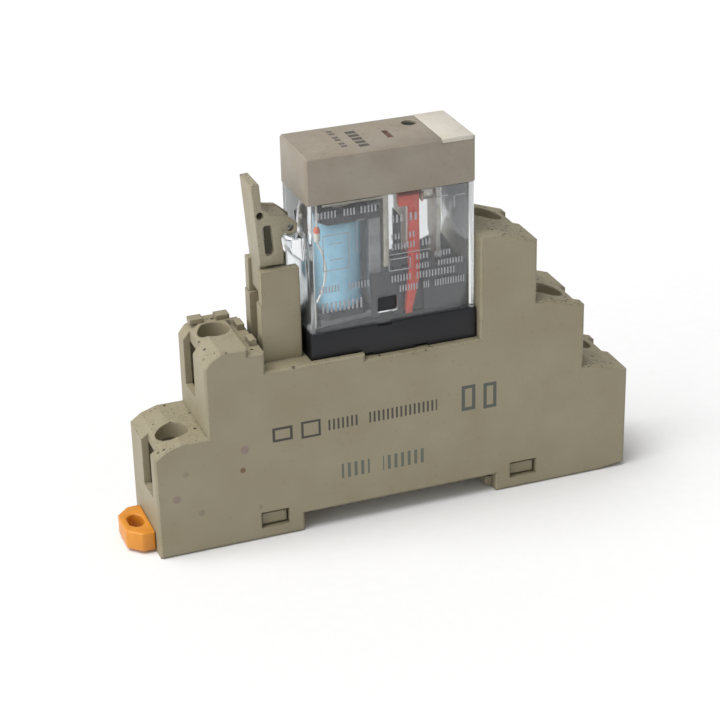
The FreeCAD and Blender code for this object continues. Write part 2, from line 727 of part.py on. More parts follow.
def makeTerminal(name, face, inward, lane, inset, screwY, top, bladeX, run):
    """Screw, clamp plate, conductor strap and receptacle of one terminal."""
    screwX = along(face, inward, inset)
    plateTop = f"{top} - dim.plateDepth"
    seat = (f"{leftEnd} + {screwX}", screwY, plateTop)
    clampTop = "dim.wireGap + dim.clampThick"
    headBottom = f"{clampTop} + dim.headFit"
    headTop = f"{headBottom} + dim.headHeight"
    tail = "-dim.plateThick - dim.shankTail"
    screw = piece(f"terminal_screw_{name}", seat)
    turned(screw, [("0", tail), ("dim.shankRadius", tail), ("dim.shankRadius", headBottom),
                   ("dim.headRadius", headBottom), ("dim.headRadius", headTop), ("0", headTop)])
    slotHalf = "dim.driverSlot / 2"
    slots = [box("-dim.headRadius - 1", "dim.headRadius + 1", f"-{slotHalf}", slotHalf)]
    cut(screw, "XY", slots, f"{headTop} - dim.driverDepth", f"{headTop} + 1")

    clamp = piece(f"clamp_plate_{name}", seat)
    half = "dim.clampSide / 2"
    pad(clamp, "XY", [box(f"-{half}", half, f"-{half}", half)], "dim.wireGap", clampTop)
    opening = [("circle", "0", "0", "dim.shankRadius + dim.threadFit")]
    cut(clamp, "XY", opening, "dim.wireGap - 1", f"{clampTop} + 1")

    strap = piece(f"terminal_strap_{name}", socketPlace)
    left, right = inOrder(inward, along(screwX, -inward, "dim.plateOuter"),
                          along(screwX, inward, "dim.plateInner"))
    laneFace = "dim.bladeY + dim.bladeThick / 2 + dim.leafFit + dim.leafThick"
    low, high = either(lane, "-dim.plateOver", f"{laneFace} + dim.strapThick")
    pad(strap, "XY", [box(left, right, low, high)], f"{plateTop} - dim.plateThick", plateTop)
    collar = [("circle", screwX, screwY, "dim.collarRadius")]
    pad(strap, "XY", collar, f"{plateTop} - dim.plateThick - dim.collarHeight",
        f"{plateTop} - dim.plateThick")
    near = along(screwX, inward, "dim.plateInner - dim.strapWidth")
    far = along(screwX, inward, "dim.plateInner")
    blade = f"{relayX} + {bladeX}"
    riserNear = along(blade, -inward, "dim.strapWidth / 2")
    riserFar = along(blade, inward, "dim.strapWidth / 2")
    runTop = f"{run} + dim.strapWidth"
    riserTop = "dim.seatHeight - dim.riserTop"
    path = [(near, plateTop), (far, plateTop), (far, runTop), (riserNear, runTop),
            (riserNear, riserTop), (riserFar, riserTop), (riserFar, run), (near, run)]
    low, high = either(lane, laneFace, f"{laneFace} + dim.strapThick")
    pad(strap, "XZ", [path], low, high)
    thread = [("circle", screwX, screwY, "dim.shankRadius + dim.threadFit")]
    cut(strap, "XY", thread, f"{plateTop} - dim.plateThick - dim.collarHeight - 1", f"{plateTop} + 1")

    clipPlace = (f"{leftEnd} + {blade}", f"{lane} * dim.bladeY", "dim.seatHeight")
    clip = piece(f"receptacle_{name}", clipPlace)
    inner = "dim.bladeThick / 2 + dim.leafFit"
    outer = f"{inner} + dim.leafThick"
    foot = "-dim.leafBottom"
    profile = [(f"-({outer})", foot), (outer, foot), (outer, "-dim.leafTop"),
               (inner, "-dim.leafTop"), (inner, f"{foot} + dim.leafThick"),
               (f"-({inner})", f"{foot} + dim.leafThick"), (f"-({inner})", "-dim.leafTop"),
               (f"-({outer})", "-dim.leafTop")]
    pad(clip, "YZ", [profile], "-dim.leafWidth / 2", "dim.leafWidth / 2")


# heights inside the relay, over its own underside
plinthTop = "dim.baseHeight + dim.plinthHeight"
caseTop = "dim.baseHeight + dim.caseHeight"
capTop = f"{caseTop} + dim.capHeight"
halfRelay = "dim.relayWidth / 2"
caseHalf = f"{halfRelay} - dim.caseInset"
caseEnd = "dim.relayLength - dim.caseInset"
innerHalf = f"{caseHalf} - dim.caseWall"
yokeFloor = f"{plinthTop} + dim.yokeThick"


def spot(middleX, halfX, side):
    """Section of a contact blade around its middle."""
    low, high = either(side, "dim.bladeY - dim.bladeThick / 2", "dim.bladeY + dim.bladeThick / 2")
    return box(f"{middleX} - {halfX}", f"{middleX} + {halfX}", low, high)


def makeBase():
    """The black relay base with its plinth, latches and blade slots."""
    body = piece("relay_base", relayPlace)
    outer = box("0", "dim.relayLength", f"-{halfRelay}", halfRelay)
    pad(body, "XY", [outer], "0", "dim.baseHeight")
    inset = "dim.caseInset + dim.caseWall + dim.latchFit"
    plinth = box(inset, f"dim.relayLength - ({inset})", f"-({halfRelay} - ({inset}))",
                 f"{halfRelay} - ({inset})")
    pad(body, "XY", [plinth], "dim.baseHeight", plinthTop)
    latchLow = "dim.baseHeight + dim.latchRise + dim.latchFit"
    latchHigh = "dim.baseHeight + dim.latchRise + dim.latchHeight - dim.latchFit"
    latchLeft = "dim.latchX + dim.latchFit"
    latchRight = "dim.latchX + dim.latchLength - dim.latchFit"
    rib = box(f"{latchLeft} + dim.ribStep", f"{latchRight} - dim.ribStep", "dim.baseHeight", latchHigh)
    catch = box(latchLeft, latchRight, latchLow, latchHigh)
    notches = [box(f"{start}", f"{start} + {length}", "-1", "dim.notchRise")
               for start, length in (("dim.notchX", "dim.notchLength"),
                                     ("dim.secondNotchX", "dim.secondNotchLength"))]
    notches.append(box("dim.sillX", "dim.sillX + dim.sillLength", "dim.baseHeight - dim.sillDepth",
                       "dim.baseHeight + 1"))
    reach = f"{halfRelay} - ({inset})"
    for side in (1, -1):
        pad(body, "XZ", [rib], *either(side, f"{reach} - dim.ribThick", reach))
        pad(body, "XZ", [catch], *either(side, reach, f"{reach} + dim.catchDepth"))
        cut(body, "XZ", notches, *either(side, f"{halfRelay} - dim.notchDepth", f"{halfRelay} + 1"))
    blades = [spot("dim.coilBladeX", "dim.bladeWidth / 2", side) for side in (1, -1)]
    blades += [spot("dim.closedBladeX", "dim.bladeWidth / 2", 1),
               spot("dim.commonBladeX", "dim.bladeWidth / 2", -1),
               spot("dim.openBladeX", "dim.bladeWidth / 2", 1)]
    cut(body, "XY", blades, "-1", f"{plinthTop} + 1")
    rails = []
    for side in (1, -1):
        low, high = either(side, "dim.bladeY - dim.bladeThick / 2", "dim.bladeY + dim.bladeThick / 2")
        rails.append(box("dim.postX - dim.railFit", "dim.coilBladeX", low, high))
    cut(body, "XY", rails, f"{plinthTop} - dim.footThick", f"{plinthTop} + 1")
    groove = box("dim.cardFootX - dim.grooveFit", "dim.cardFootX + dim.cardFootWidth + dim.grooveFit",
                 "-dim.cardFront - dim.slotFit", "-dim.cardBack + dim.slotFit")
    cut(body, "XY", [groove], "dim.cardFootZ - dim.grooveDrop", f"{plinthTop} + 1")
    return body


def makeCase():
    """The clear case, open at both ends, with its latch windows and the lug for the lever."""
    body = piece("relay_case", relayPlace)
    outer = box("dim.caseInset", caseEnd, f"-({caseHalf})", caseHalf)
    pad(body, "XY", [outer], "dim.baseHeight", caseTop)
    lugBottom = "dim.lugTop - dim.lugDepth"
    lug = [
        ("dim.caseInset + dim.lugRoot - dim.lugReach", "dim.lugTop"),
        ("dim.caseInset + dim.lugRoot", "dim.lugTop"),
        ("dim.caseInset + dim.lugRoot", lugBottom),
        ("dim.caseInset - dim.lugHeel", lugBottom),
        ("dim.caseInset - dim.lugChinReach", "dim.lugTop - dim.lugChinDrop"),
    ]
    pad(body, "XZ", [lug], "-dim.lugHalf", "dim.lugHalf")
    inner = box("dim.caseInset + dim.caseWall", f"{caseEnd} - dim.caseWall",
                f"-({innerHalf})", innerHalf)
    cut(body, "XY", [inner], "dim.baseHeight - 1", f"{caseTop} + 1")
    low = "dim.baseHeight + dim.latchRise"
    window = box("dim.latchX", "dim.latchX + dim.latchLength", low, f"{low} + dim.latchHeight")
    cut(body, "XZ", [window], f"-({halfRelay} + 1)", f"{halfRelay} + 1")
    return body


def makeCap():
    """The opaque cap over the clear case, with its lamp window, button hole and label seat."""
    body = piece("relay_cap", relayPlace)
    outer = box("0", "dim.relayLength", f"-{halfRelay}", halfRelay)
    pad(body, "XY", [outer], caseTop, capTop)
    bevel(body, "dim.capBreak", lambda edge: edge.BoundBox.ZMin > number(f"{capTop} - 0.001") or
          edge.BoundBox.ZLength > number("dim.capHeight / 2"))
    inner = box("dim.capWall", "dim.relayLength - dim.capWall", f"-({halfRelay} - dim.capWall)",
                f"{halfRelay} - dim.capWall")
    cut(body, "XY", [inner], f"{caseTop} - 1", f"{capTop} - dim.capWall")
    window = box("dim.lampX", "dim.lampX + dim.lampLength", "dim.lampFront",
                 "dim.lampFront + dim.lampWidth")
    hole = ("circle", "dim.buttonX", "dim.buttonY", "dim.buttonRadius + dim.buttonFit")
    cut(body, "XY", [window, hole], f"{capTop} - dim.capWall - 1", f"{capTop} + 1")
    seat = box("dim.plateStart", "dim.plateStart + dim.plateLength", f"-({halfRelay} + 1)",
               f"{halfRelay} + 1")
    cut(body, "XY", [seat], f"{capTop} - dim.plateStock", f"{capTop} + 1")
    for side in (1, -1):
        low, high = either(side, f"{halfRelay} - dim.plateStock", f"{halfRelay} + 1")
        lip = box("dim.plateStart", "dim.plateStart + dim.plateLength", low, high)
        cut(body, "XY", [lip], f"{capTop} - dim.plateStock - dim.plateLip", f"{capTop} + 1")
    return body


def makeNameplate():
    """The blank white label plate that wraps over the cap's long edges."""
    body = piece("label_plate", relayPlace)
    end = "dim.plateStart + dim.plateLength"
    top = box("dim.plateStart", end, f"-{halfRelay}", halfRelay)
    pad(body, "XY", [top], f"{capTop} - dim.plateStock", capTop)
    for side in (1, -1):
        low, high = either(side, f"{halfRelay} - dim.plateStock", halfRelay)
        pad(body, "XY", [box("dim.plateStart", end, low, high)],
            f"{capTop} - dim.plateStock - dim.plateLip", f"{capTop} - dim.plateStock")
    return body


def makeCapParts():
    """Board, lamp, test button and its return spring."""
    boardBottom = f"{caseTop} + dim.boardZ"
    boardTop = f"{boardBottom} + dim.boardThick"
    board = piece("indicator_board", relayPlace)
    pad(board, "XY", [box("dim.boardStart", "dim.boardStart + dim.boardLength", "-dim.boardHalf",
                          "dim.boardHalf")], boardBottom, boardTop)
    hole = [("circle", "dim.buttonX", "dim.buttonY", "dim.buttonStem + dim.buttonStemFit")]
    cut(board, "XY", hole, f"{boardBottom} - 1", f"{boardTop} + 1")

    lamp = piece("indicator_lamp", relayPlace)
    flange = box("dim.lampX - dim.lampFlange", "dim.lampX + dim.lampLength + dim.lampFlange",
                 "dim.lampFront - dim.lampFlange", "dim.lampFront + dim.lampWidth + dim.lampFlange")
    pad(lamp, "XY", [flange], boardTop, f"{boardTop} + dim.lampBody")
    lens = box("dim.lampX + dim.lampFit", "dim.lampX + dim.lampLength - dim.lampFit",
               "dim.lampFront + dim.lampFit", "dim.lampFront + dim.lampWidth - dim.lampFit")
    pad(lamp, "XY", [lens], f"{boardTop} + dim.lampBody", f"{capTop} - dim.lampDrop")

    button = piece("test_button", relayPlace)
    flangeTop = f"{capTop} - dim.capWall - dim.buttonFit"
    flangeBottom = f"{flangeTop} - dim.buttonFlangeThick"
    at = ("dim.buttonX", "dim.buttonY")
    pad(button, "XY", [("circle", *at, "dim.buttonRadius")], flangeTop, f"{capTop} - dim.buttonDrop")
    pad(button, "XY", [("circle", *at, "dim.buttonFlange")], flangeBottom, flangeTop)
    pad(button, "XY", [("circle", *at, "dim.buttonStem")], f"{boardBottom} - dim.buttonTail",
        flangeBottom)

    spring = piece("button_spring", relayPlace)
    pad(spring, "XY", [("circle", *at, "dim.coilSpringOuter")], boardTop, flangeBottom)
    cut(spring, "XY", [("circle", *at, "dim.coilSpringInner")], f"{boardTop} - 1",
        f"{flangeBottom} + 1")


def makeCoil():
    """Spool, winding, core, yoke and return spring."""
    left = "dim.coilX - dim.spoolLength / 2"
    right = "dim.coilX + dim.spoolLength / 2"
    half = "dim.spoolHalf"
    corner = "dim.spoolCorner"

    def eightSided(inset, cutOff):
        """Rectangle round the coil axis with cut corners."""
        low = f"{left} + {inset}"
        high = f"{right} - {inset}"
        side = f"{half} - {inset}"
        return [(low, f"-({side}) + {cutOff}"), (f"{low} + {cutOff}", f"-({side})"),
                (f"{high} - {cutOff}", f"-({side})"), (high, f"-({side}) + {cutOff}"),
                (high, f"{side} - {cutOff}"), (f"{high} - {cutOff}", side),
                (f"{low} + {cutOff}", side), (low, f"{side} - {cutOff}")]

    flangeTop = f"{yokeFloor} + dim.flangeThick"
    spoolTop = "dim.topFlangeZ + dim.topFlange"
    spool = piece("coil_spool", relayPlace)
    pad(spool, "XY", [eightSided("0", corner)], yokeFloor, flangeTop)
    pad(spool, "XY", [("circle", "dim.coilX", "0", "dim.spoolTube")], flangeTop, "dim.topFlangeZ")
    pad(spool, "XY", [eightSided("0", corner)], "dim.topFlangeZ", spoolTop)
    apron = box("dim.coilX", "dim.apronEnd", f"-{half}", "-dim.apronBack")
    pad(spool, "XY", [apron], "dim.topFlangeZ", spoolTop)
    bore = [("circle", "dim.coilX", "0", "dim.coreRadius + dim.coreFit")]
    cut(spool, "XY", bore, f"{yokeFloor} - 1", f"{spoolTop} + 1")

    winding = piece("coil_winding", relayPlace)
    pad(winding, "XY", [eightSided("dim.windingInset", "dim.windingCorner")], flangeTop, "dim.topFlangeZ")
    inner = [("circle", "dim.coilX", "0", "dim.spoolTube")]
    cut(winding, "XY", inner, f"{flangeTop} - 1", "dim.topFlangeZ + 1")

    core = piece("coil_core", relayPlace)
    pad(core, "XY", [("circle", "dim.coilX", "0", "dim.coreRadius")], plinthTop, spoolTop)
    pad(core, "XY", [("circle", "dim.coilX", "0", "dim.poleRadius")], spoolTop,
        f"{spoolTop} + dim.poleThick")

    yoke = piece("yoke", relayPlace)
    limb = box("dim.yokeStart", "dim.yokeEnd", "-dim.yokeHalf", "dim.yokeHalf")
    pad(yoke, "XY", [limb], plinthTop, yokeFloor)
    leg = box("dim.yokeEnd - dim.yokeLeg", "dim.yokeEnd", "-dim.yokeHalf", "dim.yokeHalf")
    pad(yoke, "XY", [leg], yokeFloor, "dim.yokeTop")
    rivet = [("circle", "dim.coilX", "0", "dim.coreRadius")]
    cut(yoke, "XY", rivet, f"{plinthTop} - 1", f"{yokeFloor} + 1")

    leaf = piece("return_spring", relayPlace)
    strip = box("dim.yokeEnd", "dim.yokeEnd + dim.returnThick", "-dim.barHalf", "dim.barHalf")
    pad(leaf, "XY", [strip], "dim.returnBottom", "dim.returnTop")


def makeArmature():
    """The rocking armature over the pole, and the card that it pushes."""
    armature = piece("armature", relayPlace)
    bottom = "dim.topFlangeZ + dim.topFlange + dim.poleThick + dim.armatureGap"
    outer = "dim.yokeEnd + dim.limbGap"
    corners = [
        ("dim.armatureStart", bottom),
        (outer, bottom),
        (outer, "dim.limbBottom"),
        (f"{outer} + dim.limbThick", "dim.limbBottom"),
        (f"{outer} + dim.limbThick", f"{bottom} + dim.armatureThick"),
        ("dim.armatureStart", f"{bottom} + dim.armatureThick"),
    ]
    pad(armature, "XZ", [corners], "-dim.yokeHalf", "dim.yokeHalf")

    card = piece("contact_card", relayPlace)
    barEnd = "dim.cardBarX + dim.cardBarWidth"
    profile = [
        ("dim.cardFootX", "dim.cardFootZ"),
        ("dim.cardFootX + dim.cardFootWidth", "dim.cardFootZ"),
        (barEnd, "dim.cardNeckZ"),
        (barEnd, "dim.cardTop"),
        ("dim.cardTopX", "dim.cardTop"),
        ("dim.cardTopX", "dim.cardTop - dim.cardTopBar"),
        ("dim.cardBarX", "dim.cardTop - dim.cardTopBar"),
        ("dim.cardBarX", "dim.cardNeckZ"),
    ]
    pad(card, "XZ", [profile], "-dim.cardFront", "-dim.cardBack")
    arm = box("dim.cardArmX", "dim.cardBarX + dim.cardArmLap", "dim.cardArmZ",
              "dim.cardArmZ + dim.cardArmHeight")
    pad(card, "XZ", [arm], "-dim.cardBack", "-dim.cardArmBack")
    heel = box("dim.cardBarX", "dim.cardBarX + dim.cardArmLap", "dim.cardArmZ",
               "dim.cardArmZ + dim.cardArmHeight")
    pad(card, "XZ", [heel], "-dim.cardFront", "-dim.cardArmBack")


def makeContacts():
    """Contact terminals, moving spring, rivets and the insulating block round their feet."""
    footTop = f"{plinthTop} + dim.footThick"
    middle = "dim.bladeThick / 2"

    def bladeAndFoot(body, bladeX, side, footEnd, footInner):
        """Plug-in blade with the foot that carries it to the bar."""
        pad(body, "XY", [spot(bladeX, "dim.bladeWidth / 2", side)], "-dim.bladeLength", plinthTop)
        low, high = either(side, footInner, f"dim.bladeY + {middle}")
        foot = box(f"{bladeX} - dim.bladeWidth / 2", footEnd, low, high)
        pad(body, "XY", [foot], plinthTop, footTop)

    def bar(body, startX):
        """Upright contact bar."""
        section = box(startX, f"{startX} + dim.barThick", "-dim.barHalf", "dim.barHalf")
        pad(body, "XY", [section], plinthTop, "dim.barTop")

    closed = piece("normally_closed_terminal", relayPlace)
    bladeAndFoot(closed, "dim.closedBladeX", 1, "dim.closedBarX + dim.barThick", "-dim.barHalf")
    bar(closed, "dim.closedBarX")
    opened = piece("normally_open_terminal", relayPlace)
    low = "dim.openBarX"
    pad(opened, "XY", [spot("dim.openBladeX", "dim.bladeWidth / 2", 1)], "-dim.bladeLength", plinthTop)
    foot = box(low, "dim.openBladeX + dim.bladeWidth / 2", "-dim.barHalf", f"dim.bladeY + {middle}")
    pad(opened, "XY", [foot], plinthTop, footTop)
    bar(opened, low)

    common = piece("common_terminal", relayPlace)
    bladeAndFoot(common, "dim.commonBladeX", -1, "dim.commonBladeX + dim.bladeWidth / 2",
                 "-dim.barHalf")
    rootTop = "dim.springFoot - dim.rootGap"
    postX = "dim.springX + dim.springThick"
    post = box(postX, f"{postX} + dim.barThick", "-dim.barHalf - dim.commonStep", "dim.barHalf")
    pad(common, "XY", [post], plinthTop, rootTop)
    root = box("dim.springX", postX, "-dim.barHalf", "dim.barHalf")
    pad(common, "XY", [root], footTop, rootTop)

    leaf = piece("contact_spring", relayPlace)
    strip = [("-dim.barHalf", "dim.springFoot"), ("dim.barHalf", "dim.springFoot"),
             ("dim.barHalf", "dim.springTop"), ("-dim.springTabReach", "dim.springTop"),
             ("-dim.springTabReach", "dim.springTop - dim.springTab"),
             ("-dim.barHalf", "dim.springTop - dim.springTab")]
    pad(leaf, "YZ", [strip], "dim.springX", postX)
    hole = [("circle", "0", "dim.contactZ", "dim.rivetRadius")]
    cut(leaf, "YZ", hole, "dim.springX - 1", f"{postX} + 1")

    disc = [("circle", "0", "dim.contactZ", "dim.contactRadius")]
    moving = piece("moving_contact", relayPlace)
    pad(moving, "YZ", disc, "dim.springX - dim.contactThick", "dim.springX")
    pad(moving, "YZ", hole, "dim.springX", postX)
    pad(moving, "YZ", disc, postX, f"{postX} + dim.contactThick")
    still = piece("normally_closed_contact", relayPlace)
    start = "dim.closedBarX + dim.barThick"
    pad(still, "YZ", disc, start, f"{start} + dim.contactThick")
    still = piece("normally_open_contact", relayPlace)
    pad(still, "YZ", disc, "dim.openBarX - dim.openContactThick", "dim.openBarX")

    block = piece("contact_block", relayPlace)
    pad(block, "XY", [box("dim.blockStart", "dim.blockEnd", "-dim.blockFront", "dim.blockBack")],
        plinthTop, "dim.blockTop")
    room = box("dim.blockStart + dim.blockWall", "dim.blockEnd - dim.blockWall",
               "-dim.blockFront + dim.blockWall", "dim.blockBack - dim.blockWall")
    cut(block, "XY", [room], f"{plinthTop} - 1", "dim.blockTop - dim.blockWall")
    under = box("dim.closedBladeX - dim.bladeWidth / 2 - dim.slotFit", "dim.blockEnd - dim.blockWall",
                "-dim.blockFront - 1", "dim.blockBack - dim.blockWall")
    cut(block, "XY", [under], f"{plinthTop} - 1", f"{footTop} + dim.slotFit")
    slots = [box(f"{start} - dim.slotFit", f"{start} + {thick} + dim.slotFit",
                 "-dim.barHalf - dim.slotFit", "dim.barHalf + dim.slotFit")
             for start, thick in (("dim.closedBarX", "dim.barThick"), ("dim.openBarX", "dim.barThick"))]
    slots.append(box("dim.springX - dim.springRoom", f"{postX} + dim.barThick + dim.slotFit",
                     "-dim.barHalf - 2 * dim.slotFit", "dim.barHalf + 2 * dim.slotFit"))
    cut(block, "XY", slots, "dim.blockTop - dim.blockWall - 1", "dim.blockTop + 1")
    skirt = box("dim.skirtStart", "dim.blockEnd", plinthTop, "dim.skirtTop")
    pad(block, "XZ", [skirt], "-dim.skirtFront", "-dim.blockFront + dim.skirtLap")
    barrier = [("dim.barrierStart", "dim.skirtTop - dim.skirtLap"),
               ("dim.barrierEnd", "dim.skirtTop - dim.skirtLap"),
               ("dim.barrierEnd", "dim.barrierLow"), ("dim.barrierStart", "dim.barrierHigh")]
    pad(block, "XZ", [barrier], "-dim.skirtFront", "-dim.skirtFront + dim.barrierThick")
    gate = box("dim.gateStart", "dim.gateEnd", f"{plinthTop} - 1", "dim.skirtTop + 1")
    cut(block, "XZ", [gate], "-dim.skirtFront - 1", "-dim.blockFront")


def makeCoilTerminals():
    """The two coil blades with their solder posts, the diode and its lead."""
    for name, side in (("front", -1), ("back", 1)):
        body = piece(f"coil_terminal_{name}", relayPlace)
        pad(body, "XY", [spot("dim.coilBladeX", "dim.bladeWidth / 2", side)], "-dim.bladeLength",
            plinthTop)
        low, high = either(side, "dim.bladeY - dim.bladeThick / 2", "dim.bladeY + dim.bladeThick / 2")
        rail = box("dim.postX", "dim.coilBladeX", low, high)
        pad(body, "XY", [rail], f"{plinthTop} - dim.footThick", plinthTop)
        low, high = either(side, "dim.postInner", "dim.postOuterY")
        post = box("dim.postX", "dim.postX + dim.postThick", low, high)
        pad(body, "XY", [post], plinthTop, "dim.postTop")
    diode = piece("suppression_diode", relayPlace)
    at = ("dim.diodeX", "dim.diodeY")
    pad(diode, "XY", [("circle", *at, "dim.diodeRadius")], "dim.diodeBottom",
        "dim.diodeBottom + dim.diodeLength")
    upper = piece("diode_lead_upper", relayPlace)
    pad(upper, "XY", [("circle", *at, "dim.leadRadius")], "dim.diodeBottom + dim.diodeLength",
        f"{caseTop} + dim.boardZ")
    makeLowerLead()


def makeLowerLead():
    """The lead that bows from the diode to the front solder post, swept along two arcs."""
    radius = number("dim.leadRadius")
    x = number("dim.diodeX")
    y = number("dim.diodeY")
    top = number("dim.diodeBottom - dim.leadFit")
    bottom = number("dim.postTop") + radius
    bow = number("dim.leadBow")
    start = FreeCAD.Vector(x, y, top)
    middle = FreeCAD.Vector(x + bow, y, (top + bottom) / 2)
    end = FreeCAD.Vector(x - bow / 4, y, bottom)
    arc = Part.Arc(start, middle, end)
    tangent = arc.tangent(arc.FirstParameter)[0]
    section = Part.Wire([Part.Circle(start, tangent, radius).toShape()])
    lead = doc.addObject("Part::Feature", "diode_lead_lower")
    lead.Label = "diode_lead_lower"
    lead.Shape = Part.Wire([arc.toShape()]).makePipeShell([section], True, False)
    for axis, expression in zip("xyz", relayPlace):
        lead.setExpression(f"Placement.Base.{axis}", expression)
    subParts.append(lead)


makeHousing()
makeCover()
makeSlider()
makeLever()
for terminal, facts in terminals.items():
    makeTerminal(terminal, *facts)
makeBase()
makeCase()
makeCap()
makeNameplate()
makeCapParts()
makeCoil()
makeArmature()
makeContacts()
makeCoilTerminals()
doc.recompute()

for item in doc.Objects:
    if "Invalid" in item.State or "Error" in item.State:
        raise RuntimeError(f"{item.Name} of {item.Label} did not build: {item.State}")
for part in subParts:
    if part.Shape.isNull() or not part.Shape.isValid():
        raise RuntimeError(f"{part.Label} has no valid shape")

os.makedirs("parts", exist_ok=True)
for part in subParts:
    part.Shape.exportStep(f"parts/{part.Label}.step")
    print(f"{part.Label}: {part.Shape.Volume:.1f} mm3, {len(part.Shape.Solids)} solid")
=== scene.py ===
import bpy
from math import radians, pi, sin, cos
from mathutils import Matrix, Vector


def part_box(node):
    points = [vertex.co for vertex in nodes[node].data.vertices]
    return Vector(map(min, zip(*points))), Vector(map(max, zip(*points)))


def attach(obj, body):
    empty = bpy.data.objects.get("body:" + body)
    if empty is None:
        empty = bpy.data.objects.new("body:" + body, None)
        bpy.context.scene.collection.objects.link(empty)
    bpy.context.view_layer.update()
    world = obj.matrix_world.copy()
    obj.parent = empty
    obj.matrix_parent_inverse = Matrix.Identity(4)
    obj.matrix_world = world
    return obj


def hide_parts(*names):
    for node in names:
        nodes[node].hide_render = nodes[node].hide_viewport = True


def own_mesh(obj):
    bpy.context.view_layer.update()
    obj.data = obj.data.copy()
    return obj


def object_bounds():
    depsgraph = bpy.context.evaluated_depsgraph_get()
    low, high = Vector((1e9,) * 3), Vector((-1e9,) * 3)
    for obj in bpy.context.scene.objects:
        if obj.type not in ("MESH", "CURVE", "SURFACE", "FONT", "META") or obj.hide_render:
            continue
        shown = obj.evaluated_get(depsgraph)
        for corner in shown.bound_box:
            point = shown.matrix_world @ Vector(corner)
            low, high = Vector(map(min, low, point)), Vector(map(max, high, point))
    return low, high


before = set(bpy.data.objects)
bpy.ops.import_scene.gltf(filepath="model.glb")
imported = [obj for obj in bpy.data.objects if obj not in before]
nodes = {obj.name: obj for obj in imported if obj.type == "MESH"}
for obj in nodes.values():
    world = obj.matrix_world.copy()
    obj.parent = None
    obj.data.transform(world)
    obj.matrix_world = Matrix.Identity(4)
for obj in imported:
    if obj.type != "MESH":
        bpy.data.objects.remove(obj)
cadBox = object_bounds()
mm = 0.001
print("frame loaded")


def hexToLinear(text):
    channels = [int(text[i:i + 2], 16) / 255 for i in (1, 3, 5)]
    return tuple(c / 12.92 if c <= 0.04045 else ((c + 0.055) / 1.055) ** 2.4 for c in channels) + (1.0,)


def addNode(tree, kind, sockets=(), **settings):
    node = tree.nodes.new(kind)
    for name, value in settings.items():
        setattr(node, name, value)
    for socket, value in dict(sockets).items():
        if isinstance(value, bpy.types.NodeSocket):
            tree.links.new(value, node.inputs[socket])
        else:
            node.inputs[socket].default_value = value
    return node


def newMaterial(name):
    material = bpy.data.materials.new(name)
    material.use_nodes = True
    tree = material.node_tree
    tree.nodes.clear()
    shader = addNode(tree, "ShaderNodeBsdfPrincipled")
    addNode(tree, "ShaderNodeOutputMaterial", {"Surface": shader.outputs[0]})
    place = addNode(tree, "ShaderNodeTexCoord")
    return material, tree, shader, place


def perMm(size):
    return 1 / (size * mm)


# how softly a printed shape ends each side of its line, and how much of a stroke's pitch is inked
printEdge = {"outsideMm": 0.06, "insideMm": 0.04, "strokeShare": 0.46}


# printed shapes on a flat side, as one mask, also used for the painted shade on the red card: boxes are
# middle and half size in mm
def markMask(tree, place, marks, pitch):
    distance = None
    for middle, half in marks:
        offset = addNode(tree, "ShaderNodeVectorMath", {0: place, 1: Vector(middle) * mm},
                         operation="SUBTRACT")
        size = addNode(tree, "ShaderNodeVectorMath", {0: offset.outputs[0]}, operation="ABSOLUTE")
        inset = addNode(tree, "ShaderNodeVectorMath", {0: size.outputs[0], 1: Vector(half) * mm},
                        operation="SUBTRACT")
        axes = addNode(tree, "ShaderNodeSeparateXYZ", {0: inset.outputs[0]})
        pair = addNode(tree, "ShaderNodeMath", {0: axes.outputs[0], 1: axes.outputs[1]},
                       operation="MAXIMUM")
        reach = addNode(tree, "ShaderNodeMath", {0: pair.outputs[0], 1: axes.outputs[2]},
                        operation="MAXIMUM")
        if distance is None:
            distance = reach
        else:
            distance = addNode(tree, "ShaderNodeMath", {0: distance.outputs[0], 1: reach.outputs[0]},
                               operation="MINIMUM")
    edge = addNode(tree, "ShaderNodeMapRange", {
        "Value": distance.outputs[0], "From Min": printEdge["outsideMm"] * mm,
        "From Max": -printEdge["insideMm"] * mm})
    if not pitch:
        return edge.outputs[0]
    # a row of short strokes, a pitch apart
    axes = addNode(tree, "ShaderNodeSeparateXYZ", {0: place})
    steps = addNode(tree, "ShaderNodeMath", {0: axes.outputs[0], 1: perMm(pitch)}, operation="MULTIPLY")
    part = addNode(tree, "ShaderNodeMath", {0: steps.outputs[0]}, operation="FRACT")
    stroke = addNode(tree, "ShaderNodeMath", {0: part.outputs[0], 1: printEdge["strokeShare"]},
                     operation="LESS_THAN")
    inked = addNode(tree, "ShaderNodeMath", {0: edge.outputs[0], 1: stroke.outputs[0]},
                    operation="MULTIPLY")
    return inked.outputs[0]


# where each pattern begins and ends: a level of its noise, a slope, or how open or how flat a place is
spans = {"mottle": (0.35, 0.68), "upward": (0.3, 0.9), "patch": (0.42, 0.62), "grit": (0.53, 0.62),
         "corner": (0.75, 0.25), "rim": (0.99, 0.9), "stain": (0.42, 0.7)}
plasticSkin = {"dotReach": 0.4, "spotCore": 0.75, "glossSpread": 0.08, "reliefMm": 0.02}
